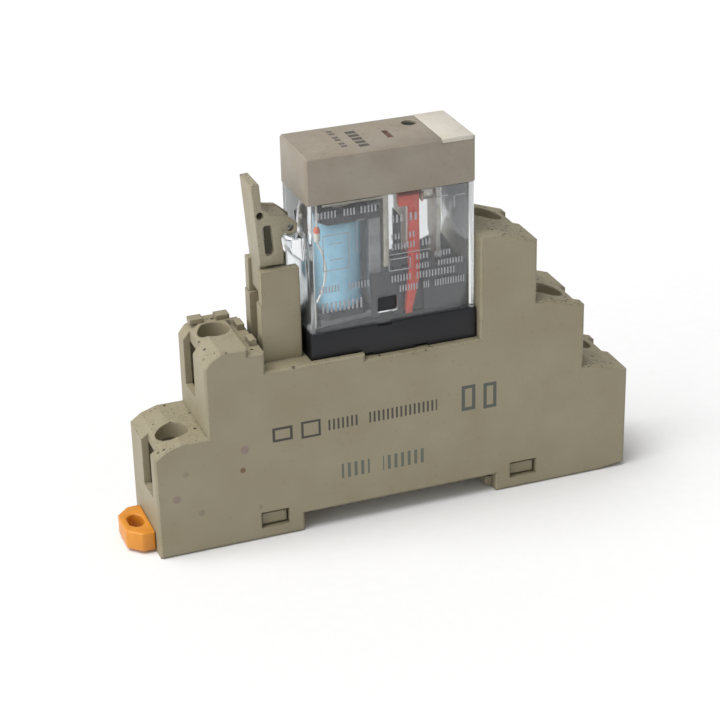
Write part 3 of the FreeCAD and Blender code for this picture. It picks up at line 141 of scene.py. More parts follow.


# moulded thermoplastic: a matt spark-eroded skin, faintly mottled, with dust and grime on what faces up, and
# painted shade with grime in its corners.
# Its pits are coarser than the real ones, which are too fine to show
def mouldedPlastic(name, look):
    material, tree, shader, place = newMaterial(name)
    spot = place.outputs["Object"]
    mottle = addNode(tree, "ShaderNodeTexNoise", {
        "Vector": spot, "Scale": perMm(look["mottleMm"]), "Detail": 4.0})
    mottleShare = addNode(tree, "ShaderNodeMapRange", {
        "Value": mottle.outputs[0], "From Min": spans["mottle"][0], "From Max": spans["mottle"][1]})
    skin = addNode(tree, "ShaderNodeMix", {
        0: mottleShare.outputs[0], 6: hexToLinear(look["colour"]), 7: hexToLinear(look["mottle"])},
        data_type="RGBA")
    facing = addNode(tree, "ShaderNodeSeparateXYZ", {0: place.outputs["Normal"]})
    upward = addNode(tree, "ShaderNodeMapRange", {
        "Value": facing.outputs[2], "From Min": spans["upward"][0], "From Max": spans["upward"][1],
        "To Min": look["sideGrime"], "To Max": look["topGrime"]})
    where = addNode(tree, "ShaderNodeSeparateXYZ", {0: spot})
    share = addNode(tree, "ShaderNodeMapRange", {
        "Value": where.outputs[0], "From Min": look["cleanX"] * mm, "From Max": look["dirtyX"] * mm,
        "To Min": look["cleanShare"], "To Max": 1.0})
    # each cell's own random number decides whether it holds a speck and how large it is
    dots = addNode(tree, "ShaderNodeTexVoronoi", {"Vector": spot, "Scale": perMm(look["speckMm"])})
    dotSize = addNode(tree, "ShaderNodeSeparateColor", {0: dots.outputs["Color"]})
    dotReach = addNode(tree, "ShaderNodeMapRange", {
        "Value": dotSize.outputs[0], "From Min": 1.0, "From Max": look["speckRare"],
        "To Min": plasticSkin["dotReach"], "To Max": 0.0})
    inDot = addNode(tree, "ShaderNodeMath", {0: dots.outputs["Distance"], 1: dotReach.outputs[0]},
                    operation="LESS_THAN")
    patches = addNode(tree, "ShaderNodeTexNoise", {
        "Vector": spot, "Scale": perMm(look["patchMm"]), "Detail": 5.0, "Roughness": 0.7})
    patchShare = addNode(tree, "ShaderNodeMapRange", {
        "Value": patches.outputs[0], "From Min": spans["patch"][0], "From Max": spans["patch"][1]})
    grit = addNode(tree, "ShaderNodeTexNoise", {
        "Vector": spot, "Scale": perMm(look["gritMm"]), "Detail": 2.0})
    gritShare = addNode(tree, "ShaderNodeMapRange", {
        "Value": grit.outputs[0], "From Min": spans["grit"][0], "From Max": spans["grit"][1]})
    film = addNode(tree, "ShaderNodeMath", {0: patchShare.outputs[0], 1: gritShare.outputs[0]},
                   operation="MULTIPLY")
    placed = addNode(tree, "ShaderNodeMath", {0: film.outputs[0], 1: share.outputs[0]},
                     operation="MULTIPLY")
    both = addNode(tree, "ShaderNodeMath", {0: placed.outputs[0], 1: inDot.outputs[0]},
                   operation="MAXIMUM")
    grime = addNode(tree, "ShaderNodeMath", {0: both.outputs[0], 1: upward.outputs[0]},
                    operation="MULTIPLY")
    # painted shade with grime: ambient occlusion darkens corners, hollows and joints toward the grime colour,
    # in patches
    hollow = addNode(tree, "ShaderNodeAmbientOcclusion", {"Distance": look["cornerMm"] * mm},
                     samples=4, only_local=True)
    corner = addNode(tree, "ShaderNodeMapRange", {
        "Value": hollow.outputs["AO"], "From Min": spans["corner"][0], "From Max": spans["corner"][1],
        "To Max": look["cornerShadeAndGrime"]})
    cornerShadeAndGrit = addNode(tree, "ShaderNodeMath", {0: corner.outputs[0], 1: patches.outputs[0]},
                         operation="MULTIPLY")
    # where the rounded and the flat normal part, the surface is an edge, and rubbed dirt collects along it
    rounded = addNode(tree, "ShaderNodeBevel", {"Radius": look["edgeMm"] * mm}, samples=4)
    flat = addNode(tree, "ShaderNodeNewGeometry")
    turned = addNode(tree, "ShaderNodeVectorMath", {0: rounded.outputs[0], 1: flat.outputs["Normal"]},
                     operation="DOT_PRODUCT")
    rim = addNode(tree, "ShaderNodeMapRange", {
        "Value": turned.outputs["Value"], "From Min": spans["rim"][0], "From Max": spans["rim"][1],
        "To Max": look["rimGrime"]})
    rimGrit = addNode(tree, "ShaderNodeMath", {0: rim.outputs[0], 1: placed.outputs[0]},
                      operation="MULTIPLY")
    rubbedAndShaded = addNode(tree, "ShaderNodeMath", {0: cornerShadeAndGrit.outputs[0], 1: rimGrit.outputs[0]},
                   operation="ADD")
    # dust on what faces up, rubbed dirt along edges, and painted shade with grime in corners, as one mask
    dirtAndShade = addNode(tree, "ShaderNodeMath", {0: grime.outputs[0], 1: rubbedAndShaded.outputs[0]}, operation="ADD",
                   use_clamp=True)
    surface = addNode(tree, "ShaderNodeMix", {
        0: dirtAndShade.outputs[0], 6: skin.outputs[2], 7: hexToLinear(look["grime"])}, data_type="RGBA")
    for colour, strength, pitch, marks in look.get("marks", ()):
        mask = markMask(tree, spot, marks, pitch)
        faded = addNode(tree, "ShaderNodeMath", {0: mask, 1: strength}, operation="MULTIPLY")
        surface = addNode(tree, "ShaderNodeMix", {
            0: faded.outputs[0], 6: surface.outputs[2], 7: hexToLinear(colour)}, data_type="RGBA")
    for colour, strength, radius, middle in look.get("spots", ()):
        away = addNode(tree, "ShaderNodeVectorMath", {0: spot, 1: Vector(middle) * mm},
                       operation="DISTANCE")
        disc = addNode(tree, "ShaderNodeMapRange", {
            "Value": away.outputs["Value"], "From Min": radius * mm,
            "From Max": radius * plasticSkin["spotCore"] * mm, "To Max": strength})
        surface = addNode(tree, "ShaderNodeMix", {
            0: disc.outputs[0], 6: surface.outputs[2], 7: hexToLinear(colour)}, data_type="RGBA")
    tree.links.new(surface.outputs[2], shader.inputs["Base Color"])
    rough = addNode(tree, "ShaderNodeMapRange", {
        "Value": mottle.outputs[0], "To Min": look["roughness"] - plasticSkin["glossSpread"],
        "To Max": look["roughness"] + plasticSkin["glossSpread"]})
    tree.links.new(rough.outputs[0], shader.inputs["Roughness"])
    shader.inputs["IOR"].default_value = look["ior"]
    pits = addNode(tree, "ShaderNodeTexNoise", {
        "Vector": spot, "Scale": perMm(look["pitMm"]), "Detail": 3.0})
    height = addNode(tree, "ShaderNodeMath", {0: pits.outputs[0], 1: dirtAndShade.outputs[0]}, operation="ADD")
    relief = addNode(tree, "ShaderNodeBump", {
        "Strength": look["relief"], "Distance": plasticSkin["reliefMm"] * mm,
        "Height": height.outputs[0], "Normal": rounded.outputs[0]})
    tree.links.new(relief.outputs[0], shader.inputs["Normal"])
    return material


metalSkin = {"glossier": 0.1, "duller": 0.15, "relief": 0.35, "reliefMm": 0.01}


# stamped or turned metal: fine drawn lines, coarser than the real ones so that they show, and dull stains
# where the plating has aged
def workedMetal(name, look):
    material, tree, shader, place = newMaterial(name)
    stretch = addNode(tree, "ShaderNodeMapping", {
        "Vector": place.outputs["Object"], "Scale": look["grain"]})
    lines = addNode(tree, "ShaderNodeTexNoise", {
        "Vector": stretch.outputs[0], "Scale": perMm(look["lineMm"]), "Detail": 3.0})
    stain = addNode(tree, "ShaderNodeTexNoise", {
        "Vector": place.outputs["Object"], "Scale": perMm(look["stainMm"]), "Detail": 5.0,
        "Roughness": 0.65})
    share = addNode(tree, "ShaderNodeMapRange", {
        "Value": stain.outputs[0], "From Min": spans["stain"][0], "From Max": spans["stain"][1]})
    skin = addNode(tree, "ShaderNodeMix", {
        0: share.outputs[0], 6: hexToLinear(look["colour"]), 7: hexToLinear(look["stain"])},
        data_type="RGBA")
    tree.links.new(skin.outputs[2], shader.inputs["Base Color"])
    shader.inputs["Metallic"].default_value = look["metallic"]
    rough = addNode(tree, "ShaderNodeMapRange", {
        "Value": lines.outputs[0], "To Min": look["roughness"] - metalSkin["glossier"],
        "To Max": look["roughness"] + metalSkin["duller"]})
    tree.links.new(rough.outputs[0], shader.inputs["Roughness"])
    rounded = addNode(tree, "ShaderNodeBevel", {"Radius": look["edgeMm"] * mm}, samples=4)
    relief = addNode(tree, "ShaderNodeBump", {
        "Strength": metalSkin["relief"], "Distance": metalSkin["reliefMm"] * mm,
        "Height": lines.outputs[0], "Normal": rounded.outputs[0]})
    tree.links.new(relief.outputs[0], shader.inputs["Normal"])
    return material


sideY = cadBox[0][1] / mm
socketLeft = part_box("socket_housing")[0][0] / mm
markThick = 0.05  # half the depth, in mm, that a printed mark reaches each side of its face


def sideMark(left, right, low, high):
    return ((socketLeft + (left + right) / 2, sideY, (low + high) / 2),
            ((right - left) / 2, markThick, (high - low) / 2))


# a printed line of plain strokes: each pair is a start and an end along the socket
def strokeLine(low, high, groups):
    return [sideMark(left, right, low, high) for left, right in groups]


# an outlined box in printed line
def boxLine(left, right, low, high, pen):
    return [sideMark(left, right, low, low + pen), sideMark(left, right, high - pen, high),
            sideMark(left, left + pen, low, high), sideMark(right - pen, right, low, high)]


# marks hold a colour, its strength, the pitch of its strokes in mm or 0 for solid ink, and boxes; spots hold
# a colour, its strength, a radius in mm and a middle
socketLook = {
    "colour": "#958d76", "mottle": "#8f866d", "grime": "#2d251b", "mottleMm": 9.0, "topGrime": 0.95,
    "sideGrime": 0.08, "speckMm": 0.8, "speckRare": 0.78, "patchMm": 3.4, "gritMm": 0.26,
    "cornerMm": 1.4, "cornerShadeAndGrime": 0.9, "edgeMm": 0.35, "rimGrime": 1.6, "cleanX": 6.0, "dirtyX": 20.0,
    "cleanShare": 0.5, "roughness": 0.56, "ior": 1.5, "pitMm": 0.16, "relief": 0.5,
    "marks": (
        ("#2c2a2a", 0.85, 0.8, strokeLine(18.1, 20.1, ((29.8, 35.3), (37.1, 49.3)))),
        ("#2c2a2a", 0.9, 0, boxLine(20.1, 23.6, 17.8, 20.4, 0.45) + boxLine(25.1, 28.5, 17.5, 20.6, 0.4)),
        ("#3d4644", 0.85, 0, boxLine(53.8, 56.3, 16.9, 21.6, 0.6) + boxLine(57.8, 60.2, 16.6, 21.4, 0.6)),
        ("#4d574f", 0.8, 1.2, strokeLine(8.6, 11.3, ((32.0, 37.0), (39.4, 46.8)))),
    ),
    "spots": (
        ("#86706d", 0.75, 0.85, (socketLeft + 15.28, sideY, 17.46)),
        ("#6e4d33", 0.9, 0.55, (socketLeft + 14.76, sideY, 13.74)),
        ("#7d7668", 0.6, 0.55, (socketLeft + 5.08, sideY, 14.96)),
        ("#86706d", 0.75, 0.8, (socketLeft + 3.29, sideY, 10.66)),
        ("#7a7465", 0.7, 0.65, (socketLeft + 7.36, sideY, 7.31)),
        ("#7a7465", 0.6, 0.45, (socketLeft + 17.54, sideY, 6.21)),
        ("#7f7a60", 0.35, 0.6, (socketLeft + 40.8, sideY, 4.5)),
    ),
}
coverLook = dict(socketLook, colour="#918973", marks=(), spots=())
leverLook = dict(socketLook, colour="#9d9681", mottle="#958c76", topGrime=0.95, sideGrime=0.22, speckMm=0.7,
                 cornerMm=0.6, edgeMm=0.2, cleanX=-60.0, dirtyX=-50.0, relief=0.8, marks=(), spots=())
capTop = cadBox[1][2] / mm
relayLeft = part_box("relay_cap")[0][0] / mm


def topMark(left, right, near, far):
    return ((relayLeft + (left + right) / 2, (near + far) / 2, capTop),
            ((right - left) / 2, (far - near) / 2, markThick))


capLook = {
    "colour": "#968d7f", "mottle": "#8f8576", "grime": "#463c32", "mottleMm": 5.0, "topGrime": 0.3,
    "sideGrime": 0.1, "speckMm": 0.8, "speckRare": 0.86, "patchMm": 1.6, "gritMm": 0.2, "cornerMm": 0.5,
    "cornerShadeAndGrime": 0.4, "edgeMm": 0.2, "rimGrime": 0.3, "cleanX": -60.0, "dirtyX": -50.0, "cleanShare": 1.0,
    "roughness": 0.5, "ior": 1.5, "pitMm": 0.12, "relief": 0.55,
    # two short printed rows across the top
    "marks": (
        ("#3c3835", 0.85, 0, [topMark(9.9, 11.6, low, low + 1.15) for low in (-4.6, -3.0, -1.4, 0.2, 1.8)]),
        ("#4a4541", 0.8, 0, [topMark(7.2, 8.2, low, low + 0.8) for low in (-3.6, -2.4, -0.6, 0.6, 2.4, 3.6)]),
    ),
}
sliderLook = {
    "colour": "#d68d2c", "mottle": "#cc8126", "grime": "#7a4c1c", "mottleMm": 3.0, "topGrime": 0.2,
    "sideGrime": 0.05, "speckMm": 0.9, "speckRare": 0.95, "patchMm": 2.0, "gritMm": 0.2, "cornerMm": 0.8,
    "cornerShadeAndGrime": 0.5, "edgeMm": 0.2, "rimGrime": 0.2, "cleanX": -60.0, "dirtyX": -50.0, "cleanShare": 1.0,
    "roughness": 0.4, "ior": 1.48, "pitMm": 0.3, "relief": 0.25,
}
baseLook = {
    "colour": "#0c0d12", "mottle": "#101117", "grime": "#3a3836", "mottleMm": 3.0, "topGrime": 0.3,
    "sideGrime": 0.04, "speckMm": 0.9, "speckRare": 0.93, "patchMm": 1.6, "gritMm": 0.15, "cornerMm": 0.5,
    "cornerShadeAndGrime": 0.1, "edgeMm": 0.15, "rimGrime": 0.2, "cleanX": -60.0, "dirtyX": -50.0, "cleanShare": 1.0,
    "roughness": 0.42, "ior": 1.45, "pitMm": 0.2, "relief": 0.3,
}
labelLook = dict(capLook, colour="#ccc6bb", mottle="#c2bbae", grime="#8d8474", topGrime=0.35, marks=())
buttonLook = dict(baseLook, colour="#20241c", mottle="#272c20", grime="#5a5a48")
spoolLook = dict(baseLook, colour="#2b2c30", mottle="#323338", grime="#5c5a58", topGrime=0.1)
blockLook = dict(baseLook, colour="#37373a", mottle="#3e3e42", grime="#5c5a56", topGrime=0.1)
# painted shade: the pusher arm behind the red stem is painted over with a dark box, so it doesn't show
cardLook = dict(baseLook, colour="#ee4c30", mottle="#e2442a", grime="#8c3424", roughness=0.3, topGrime=0.1,
                sideGrime=0.0,
                marks=(("#2e2e31", 1.0, 0, [((relayLeft + 16.2, -4.0, 45.25), (1.42, 1.45, 1.3))]),))
boardLook = dict(baseLook, colour="#2b5a35", mottle="#336a3e", grime="#1c3c22", roughness=0.35)
lampLook = dict(capLook, colour="#5e3a2e", mottle="#6e4738", grime="#2c1a14", roughness=0.25, marks=())

steelLook = {"colour": "#c9c6bd", "stain": "#a49d8c", "grain": (1.0, 1.0, 6.0), "lineMm": 0.3, "stainMm": 1.6,
             "edgeMm": 0.12, "metallic": 1.0, "roughness": 0.32}
tinLook = dict(steelLook, colour="#eeebe4", stain="#d4cdbd", grain=(6.0, 6.0, 1.0), roughness=0.45,
               metallic=0.35)
ironLook = dict(steelLook, colour="#e9e3d2", stain="#cfc6b0", grain=(6.0, 6.0, 1.0), roughness=0.45,
                metallic=0.3)
yokeLook = dict(steelLook, colour="#a9a9ab", stain="#8b8b8e", grain=(6.0, 6.0, 1.0), roughness=0.5,
                metallic=0.3)
springLook = dict(steelLook, colour="#d8d2c4", stain="#bdb3a0", grain=(6.0, 6.0, 1.0), roughness=0.3)
bronzeLook = dict(steelLook, colour="#b98f62", stain="#8f6a45", roughness=0.38)
copperLook = dict(steelLook, colour="#dcb5a0", stain="#c08a70", grain=(6.0, 6.0, 1.0), roughness=0.4,
                  metallic=0.4)
silverLook = dict(steelLook, colour="#dedbd2", stain="#8c7f74", roughness=0.3)

# unfilled polyester moulded in a spark-eroded tool: dull waxy beige, blotched, dirty where hands go
socketPlastic = mouldedPlastic("unfilledPbtBeige", socketLook)
# the same resin under the rail: a shade darker and without print
coverPlastic = mouldedPlastic("coverPbtBeige", coverLook)
# the same resin in thin ribs: paler and rougher, with grime worn all over it
leverPlastic = mouldedPlastic("leverPbtBeige", leverLook)
# moulded ABS: greyer and smoother than the socket, with a little dust on its top
capPlastic = mouldedPlastic("capAbsBeige", capLook)
# moulded acetal: waxy orange with a soft gloss, and painted shade with grime in its corners
sliderPlastic = mouldedPlastic("acetalOrange", sliderLook)
# polyester moulded in black: near black with a blue cast and a dull shine
basePlastic = mouldedPlastic("basePbtBlueBlack", baseLook)
# moulded white ABS plate: off-white and unevenly yellowed
labelPlastic = mouldedPlastic("labelAbsWhite", labelLook)
# moulded acetal button: small, greenish black and slightly greasy
buttonPlastic = mouldedPlastic("buttonAcetalBlack", buttonLook)
# moulded nylon: dark grey with a smooth skin
spoolPlastic = mouldedPlastic("spoolNylonGrey", spoolLook)
# moulded phenolic: mid grey and matt, faintly cloudy
blockPlastic = mouldedPlastic("blockPhenolicGrey", blockLook)
# dyed nylon card: strong red with a smooth, half-glossy face
cardPlastic = mouldedPlastic("cardNylonRed", cardLook)
# sawn glass-epoxy board: green, glossy under its lacquer
boardLaminate = mouldedPlastic("glassEpoxyGreen", boardLook)
# cast lamp resin: glossy red-brown, dark while unlit
lampResin = mouldedPlastic("lampResinRed", lampLook)
# zinc-plated steel, headed and stamped: bright grey with dull stains
zincSteel = workedMetal("zincPlatedSteel", steelLook)
# tinned brass strip, stamped: whitish and softly shiny, with its rolled grain upright
tinnedBrass = workedMetal("tinnedBrass", tinLook)
# nickel-plated iron, stamped: warm white with a soft shine
nickelIron = workedMetal("nickelPlatedIron", ironLook)
# zinc-plated iron yoke, stamped: dull mid grey
zincYoke = workedMetal("zincPlatedYoke", yokeLook)
# hard-drawn spring wire: bright, with sharp fine lines along it
springSteel = workedMetal("drawnSpringSteel", springLook)
# phosphor bronze strip, formed: golden brown, darker where it has aged
phosphorBronze = workedMetal("phosphorBronze", bronzeLook)
# beryllium copper leaf, rolled: pale pink with a satin face
berylliumCopper = workedMetal("berylliumCopper", copperLook)
# silver alloy rivets, headed: nearly white, with dark switching marks
silverAlloy = workedMetal("silverContactAlloy", silverLook)
print("plastics and metals made")

# moulded clear polycarbonate: glassy, with hairline scratches; lamps reach through it to what it covers
caseLook = {"tint": "#f4f6f7", "ior": 1.5, "roughness": 0.06, "scratchMm": 0.5,
            "scratchTurn": (0.3, 0.5, 0.2), "scratchLong": (1.0, 1.0, 14.0), "scratchEnds": (0.5, 0.75),
            "scratchDull": 0.08, "relief": 0.1, "reliefMm": 0.01, "clear": 0.975, "lampTint": "#f7f9fa"}
clearCase, tree, shader, place = newMaterial("clearPolycarbonate")
scratchSpread = addNode(tree, "ShaderNodeMapping", {
    "Vector": place.outputs["Object"], "Rotation": caseLook["scratchTurn"], "Scale": caseLook["scratchLong"]})
scratches = addNode(tree, "ShaderNodeTexNoise", {
    "Vector": scratchSpread.outputs[0], "Scale": perMm(caseLook["scratchMm"]), "Detail": 4.0})
shader.inputs["Base Color"].default_value = hexToLinear(caseLook["tint"])
shader.inputs["Transmission Weight"].default_value = caseLook["clear"]
shader.inputs["IOR"].default_value = caseLook["ior"]
rough = addNode(tree, "ShaderNodeMapRange", {
    "Value": scratches.outputs[0], "From Min": caseLook["scratchEnds"][0],
    "From Max": caseLook["scratchEnds"][1],
    "To Min": caseLook["roughness"], "To Max": caseLook["roughness"] + caseLook["scratchDull"]})
tree.links.new(rough.outputs[0], shader.inputs["Roughness"])
relief = addNode(tree, "ShaderNodeBump", {
    "Strength": caseLook["relief"], "Distance": caseLook["reliefMm"] * mm, "Height": scratches.outputs[0]})
tree.links.new(relief.outputs[0], shader.inputs["Normal"])
path = addNode(tree, "ShaderNodeLightPath")
through = addNode(tree, "ShaderNodeBsdfTransparent", {"Color": hexToLinear(caseLook["lampTint"])})
chosen = addNode(tree, "ShaderNodeMixShader", {
    0: path.outputs["Is Shadow Ray"], 1: shader.outputs[0], 2: through.outputs[0]})
tree.links.new(chosen.outputs[0], tree.nodes["Material Output"].inputs["Surface"])

# polyester tape over the winding: its turns show faintly, with random deeper blue patches, and painted shade
# in a deeper blue along its right side, where the round winding turns from the light
tapeLook = {"colour": "#a9dcf2", "deep": "#5f9dbd", "turnMm": 0.45, "creaseMm": 1.4, "edgeMm": (2.0, 0.2),
            "creaseEnds": (0.3, 0.75), "creaseDeep": 0.25, "roughness": 0.35, "relief": 0.3, "reliefMm": 0.02}
coilTape, tree, shader, place = newMaterial("polyesterTapeBlue")
low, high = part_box("coil_winding")
along = addNode(tree, "ShaderNodeSeparateXYZ", {0: place.outputs["Object"]})
turns = addNode(tree, "ShaderNodeMath", {0: along.outputs[2], 1: 2 * pi * perMm(tapeLook["turnMm"])},
                operation="MULTIPLY")
ripple = addNode(tree, "ShaderNodeMath", {0: turns.outputs[0]}, operation="SINE")
creases = addNode(tree, "ShaderNodeTexNoise", {
    "Vector": place.outputs["Object"], "Scale": perMm(tapeLook["creaseMm"]), "Detail": 4.0})
# painted shade: over the last 2 mm of its right side the tape turns to the deeper blue, where the round
# winding turns from the light
edge = addNode(tree, "ShaderNodeMapRange", {
    "Value": along.outputs[0], "From Min": high[0] - tapeLook["edgeMm"][0] * mm,
    "From Max": high[0] - tapeLook["edgeMm"][1] * mm})
deep = addNode(tree, "ShaderNodeMapRange", {
    "Value": creases.outputs[0], "From Min": tapeLook["creaseEnds"][0], "From Max": tapeLook["creaseEnds"][1],
    "To Max": tapeLook["creaseDeep"]})
shade = addNode(tree, "ShaderNodeMath", {0: edge.outputs[0], 1: deep.outputs[0]}, operation="MAXIMUM")
blue = addNode(tree, "ShaderNodeMix", {
    0: shade.outputs[0], 6: hexToLinear(tapeLook["colour"]), 7: hexToLinear(tapeLook["deep"])},
    data_type="RGBA")
tree.links.new(blue.outputs[2], shader.inputs["Base Color"])
shader.inputs["Roughness"].default_value = tapeLook["roughness"]
height = addNode(tree, "ShaderNodeMath", {0: ripple.outputs[0], 1: creases.outputs[0]}, operation="ADD")
relief = addNode(tree, "ShaderNodeBump", {
    "Strength": tapeLook["relief"], "Distance": tapeLook["reliefMm"] * mm, "Height": height.outputs[0]})
tree.links.new(relief.outputs[0], shader.inputs["Normal"])

# drawn glass diode bead: pale and glossy, with an orange-red paint band at its upper end
beadLook = {"colour": "#ded8ce", "band": "#d9603c", "bandMm": 0.8, "softMm": 0.2, "smearMm": 0.5,
            "wanderMm": 0.4, "roughness": 0.18, "ior": 1.52}
leadGlass, tree, shader, place = newMaterial("leadGlassBead")
low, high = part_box("suppression_diode")
upright = addNode(tree, "ShaderNodeSeparateXYZ", {0: place.outputs["Object"]})
smear = addNode(tree, "ShaderNodeTexNoise", {
    "Vector": place.outputs["Object"], "Scale": perMm(beadLook["smearMm"])})
wander = addNode(tree, "ShaderNodeMath", {0: smear.outputs[0], 1: beadLook["wanderMm"] * mm},
                 operation="MULTIPLY")
level = addNode(tree, "ShaderNodeMath", {0: upright.outputs[2], 1: wander.outputs[0]}, operation="ADD")
band = addNode(tree, "ShaderNodeMapRange", {
    "Value": level.outputs[0], "From Min": high[2] - beadLook["bandMm"] * mm,
    "From Max": high[2] - (beadLook["bandMm"] - beadLook["softMm"]) * mm})
glaze = addNode(tree, "ShaderNodeMix", {
    0: band.outputs[0], 6: hexToLinear(beadLook["colour"]), 7: hexToLinear(beadLook["band"])},
    data_type="RGBA")
tree.links.new(glaze.outputs[2], shader.inputs["Base Color"])
shader.inputs["Roughness"].default_value = beadLook["roughness"]
shader.inputs["IOR"].default_value = beadLook["ior"]

# screen-printing ink on the clear case: matt, thin and slightly broken
inkLook = {"colour": "#b6b7ba", "thin": "#85868b", "wearMm": 0.6, "roughness": 0.6}
printInk, tree, shader, place = newMaterial("screenPrintInk")
wear = addNode(tree, "ShaderNodeTexNoise", {
    "Vector": place.outputs["Object"], "Scale": perMm(inkLook["wearMm"]), "Detail": 3.0})
inked = addNode(tree, "ShaderNodeMix", {
    0: wear.outputs[0], 6: hexToLinear(inkLook["colour"]), 7: hexToLinear(inkLook["thin"])},
    data_type="RGBA")
tree.links.new(inked.outputs[2], shader.inputs["Base Color"])
shader.inputs["Roughness"].default_value = inkLook["roughness"]
print("case, tape, glass and ink made")

dressing = {
    socketPlastic: ["socket_housing"],
    coverPlastic: ["base_cover"],
    leverPlastic: ["hold_down_lever"],
    sliderPlastic: ["rail_slider"],
    basePlastic: ["relay_base"],
    clearCase: ["relay_case"],
    capPlastic: ["relay_cap"],
    labelPlastic: ["label_plate"],
    boardLaminate: ["indicator_board"],
    lampResin: ["indicator_lamp"],
    leadGlass: ["suppression_diode"],
    buttonPlastic: ["test_button"],
    spoolPlastic: ["coil_spool"],
    coilTape: ["coil_winding"],
    nickelIron: ["coil_core", "armature"],
    zincYoke: ["yoke"],
    springSteel: ["button_spring", "return_spring"],
    cardPlastic: ["contact_card"],
    blockPlastic: ["contact_block"],
    berylliumCopper: ["contact_spring"],
    silverAlloy: ["moving_contact", "normally_closed_contact", "normally_open_contact"],
    tinnedBrass: ["normally_closed_terminal", "normally_open_terminal", "common_terminal",
                  "coil_terminal_front", "coil_terminal_back", "diode_lead_upper", "diode_lead_lower"],
    zincSteel: [],
    phosphorBronze: [],
}
places = ("low_left", "high_left", "high_right", "mid_right", "low_right")
for terminal in places:
    dressing[tinnedBrass].append(f"terminal_strap_{terminal}")
    dressing[phosphorBronze].append(f"receptacle_{terminal}")
    dressing[zincSteel] += [f"terminal_screw_{terminal}", f"clamp_plate_{terminal}"]
for material, names in dressing.items():
    for name in names:
        nodes[name].data.materials.clear()
        nodes[name].data.materials.append(material)
print("nodes dressed")

bpy.ops.object.select_all(action="DESELECT")


# work on one object only, in edit mode, with everything selected
def openForEdit(piece):
    bpy.ops.object.select_all(action="DESELECT")
    piece.select_set(True)
    bpy.context.view_layer.objects.active = piece
    bpy.ops.object.mode_set(mode="EDIT")
    bpy.ops.mesh.select_mode(type="VERT")
    bpy.ops.mesh.select_all(action="SELECT")


# pick corners by their place, with the edges and faces between them
def pickCorners(piece, test):
    bpy.ops.object.mode_set(mode="OBJECT")
    mesh = piece.data
    picked = [test(corner.co) for corner in mesh.vertices]
    for corner, inside in zip(mesh.vertices, picked):
        corner.select = inside
    for edge in mesh.edges:
        edge.select = all(picked[index] for index in edge.vertices)
    for face in mesh.polygons:
        face.select = all(picked[index] for index in face.vertices)
    bpy.ops.object.mode_set(mode="EDIT")


def closeEdit(piece, smoothAngle):
    bpy.ops.object.mode_set(mode="OBJECT")
    bpy.ops.object.select_all(action="DESELECT")
    piece.select_set(True)
    bpy.context.view_layer.objects.active = piece
    bpy.ops.object.shade_smooth_by_angle(angle=radians(smoothAngle))


def fitOut(piece, name, material, body, replaced=()):
    piece.name = name
    piece.data.materials.clear()
    piece.data.materials.append(material)
    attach(piece, body)
    if replaced:
        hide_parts(*replaced)


mergeShape = {"weldMm": 0.002, "flatDegrees": 0.6}
smoothBelow = {"moulded": 40, "turned": 35, "round": 60}  # angles in degrees that are shaded as one surface


# a copy of a moulded or stamped part, with its loose triangles merged into flat faces
def mergedCopy(node):
    bpy.ops.object.select_all(action="DESELECT")
    source = nodes[node]
    source.select_set(True)
    bpy.context.view_layer.objects.active = source
    bpy.ops.object.duplicate()
    piece = bpy.context.active_object
    openForEdit(piece)
    bpy.ops.mesh.customdata_custom_splitnormals_clear()
    bpy.ops.mesh.remove_doubles(threshold=mergeShape["weldMm"] * mm)
    bpy.ops.mesh.dissolve_limited(angle_limit=radians(mergeShape["flatDegrees"]))
    bpy.ops.object.mode_set(mode="OBJECT")
    return piece


sharpDegrees = 35  # an edge that turns by more than this is rounded


def roundEdges(piece, width, steps):
    edges = piece.modifiers.new("roundedEdges", "BEVEL")
    edges.width = width * mm
    edges.segments = steps
    edges.limit_method = "ANGLE"
    edges.angle_limit = radians(sharpDegrees)
    bpy.context.view_layer.objects.active = piece
    bpy.ops.object.modifier_apply(modifier=edges.name)
    closeEdit(piece, smoothBelow["moulded"])


# what each moulded or stamped part's edges are rounded to, in mm, and in how many steps
roundingSteps = 3
clampRounding = {"width": 0.2, "steps": 2}
roundings = {
    "capShell": ("relay_cap", capPlastic, "relay", "cap_plastic", 0.28),
    "caseShell": ("relay_case", clearCase, "relay", "clear_plastic", 0.22),
    "plinth": ("relay_base", basePlastic, "relay", "base_plastic", 0.15),
    "namePlate": ("label_plate", labelPlastic, "relay", "label_plastic", 0.18),
    "railLatch": ("rail_slider", sliderPlastic, "slider", "slider_plastic", 0.45),
    "lever": ("hold_down_lever", leverPlastic, "lever", "lever_plastic", 0.18),
    "pushButton": ("test_button", buttonPlastic, "button", "button_plastic", 0.2),
    "lampLens": ("indicator_lamp", lampResin, "relay", "lamp_resin", 0.12),
    "rockingArmature": ("armature", nickelIron, "armature", "soft_iron", 0.12),
    "redCard": ("contact_card", cardPlastic, "card", "card_plastic", 0.15),
    "movingRivet": ("moving_contact", silverAlloy, "contact", "contact_silver", 0.15),
    "upperRivet": ("normally_closed_contact", silverAlloy, "relay", "contact_silver", 0.15),
    "lowerRivet": ("normally_open_contact", silverAlloy, "relay", "contact_silver", 0.15),
}
for name, (node, material, body, slot, width) in roundings.items():
    piece = mergedCopy(node)
    roundEdges(piece, width, roundingSteps)
    fitOut(piece, name, material, body, (node,))
for terminal in places:
    piece = mergedCopy(f"clamp_plate_{terminal}")
    roundEdges(piece, clampRounding["width"], clampRounding["steps"])
    fitOut(piece, f"clampWasher_{terminal}", zincSteel, f"clamp_{terminal}",
           (f"clamp_plate_{terminal}",))
print("edges rounded on the moulded and stamped parts")

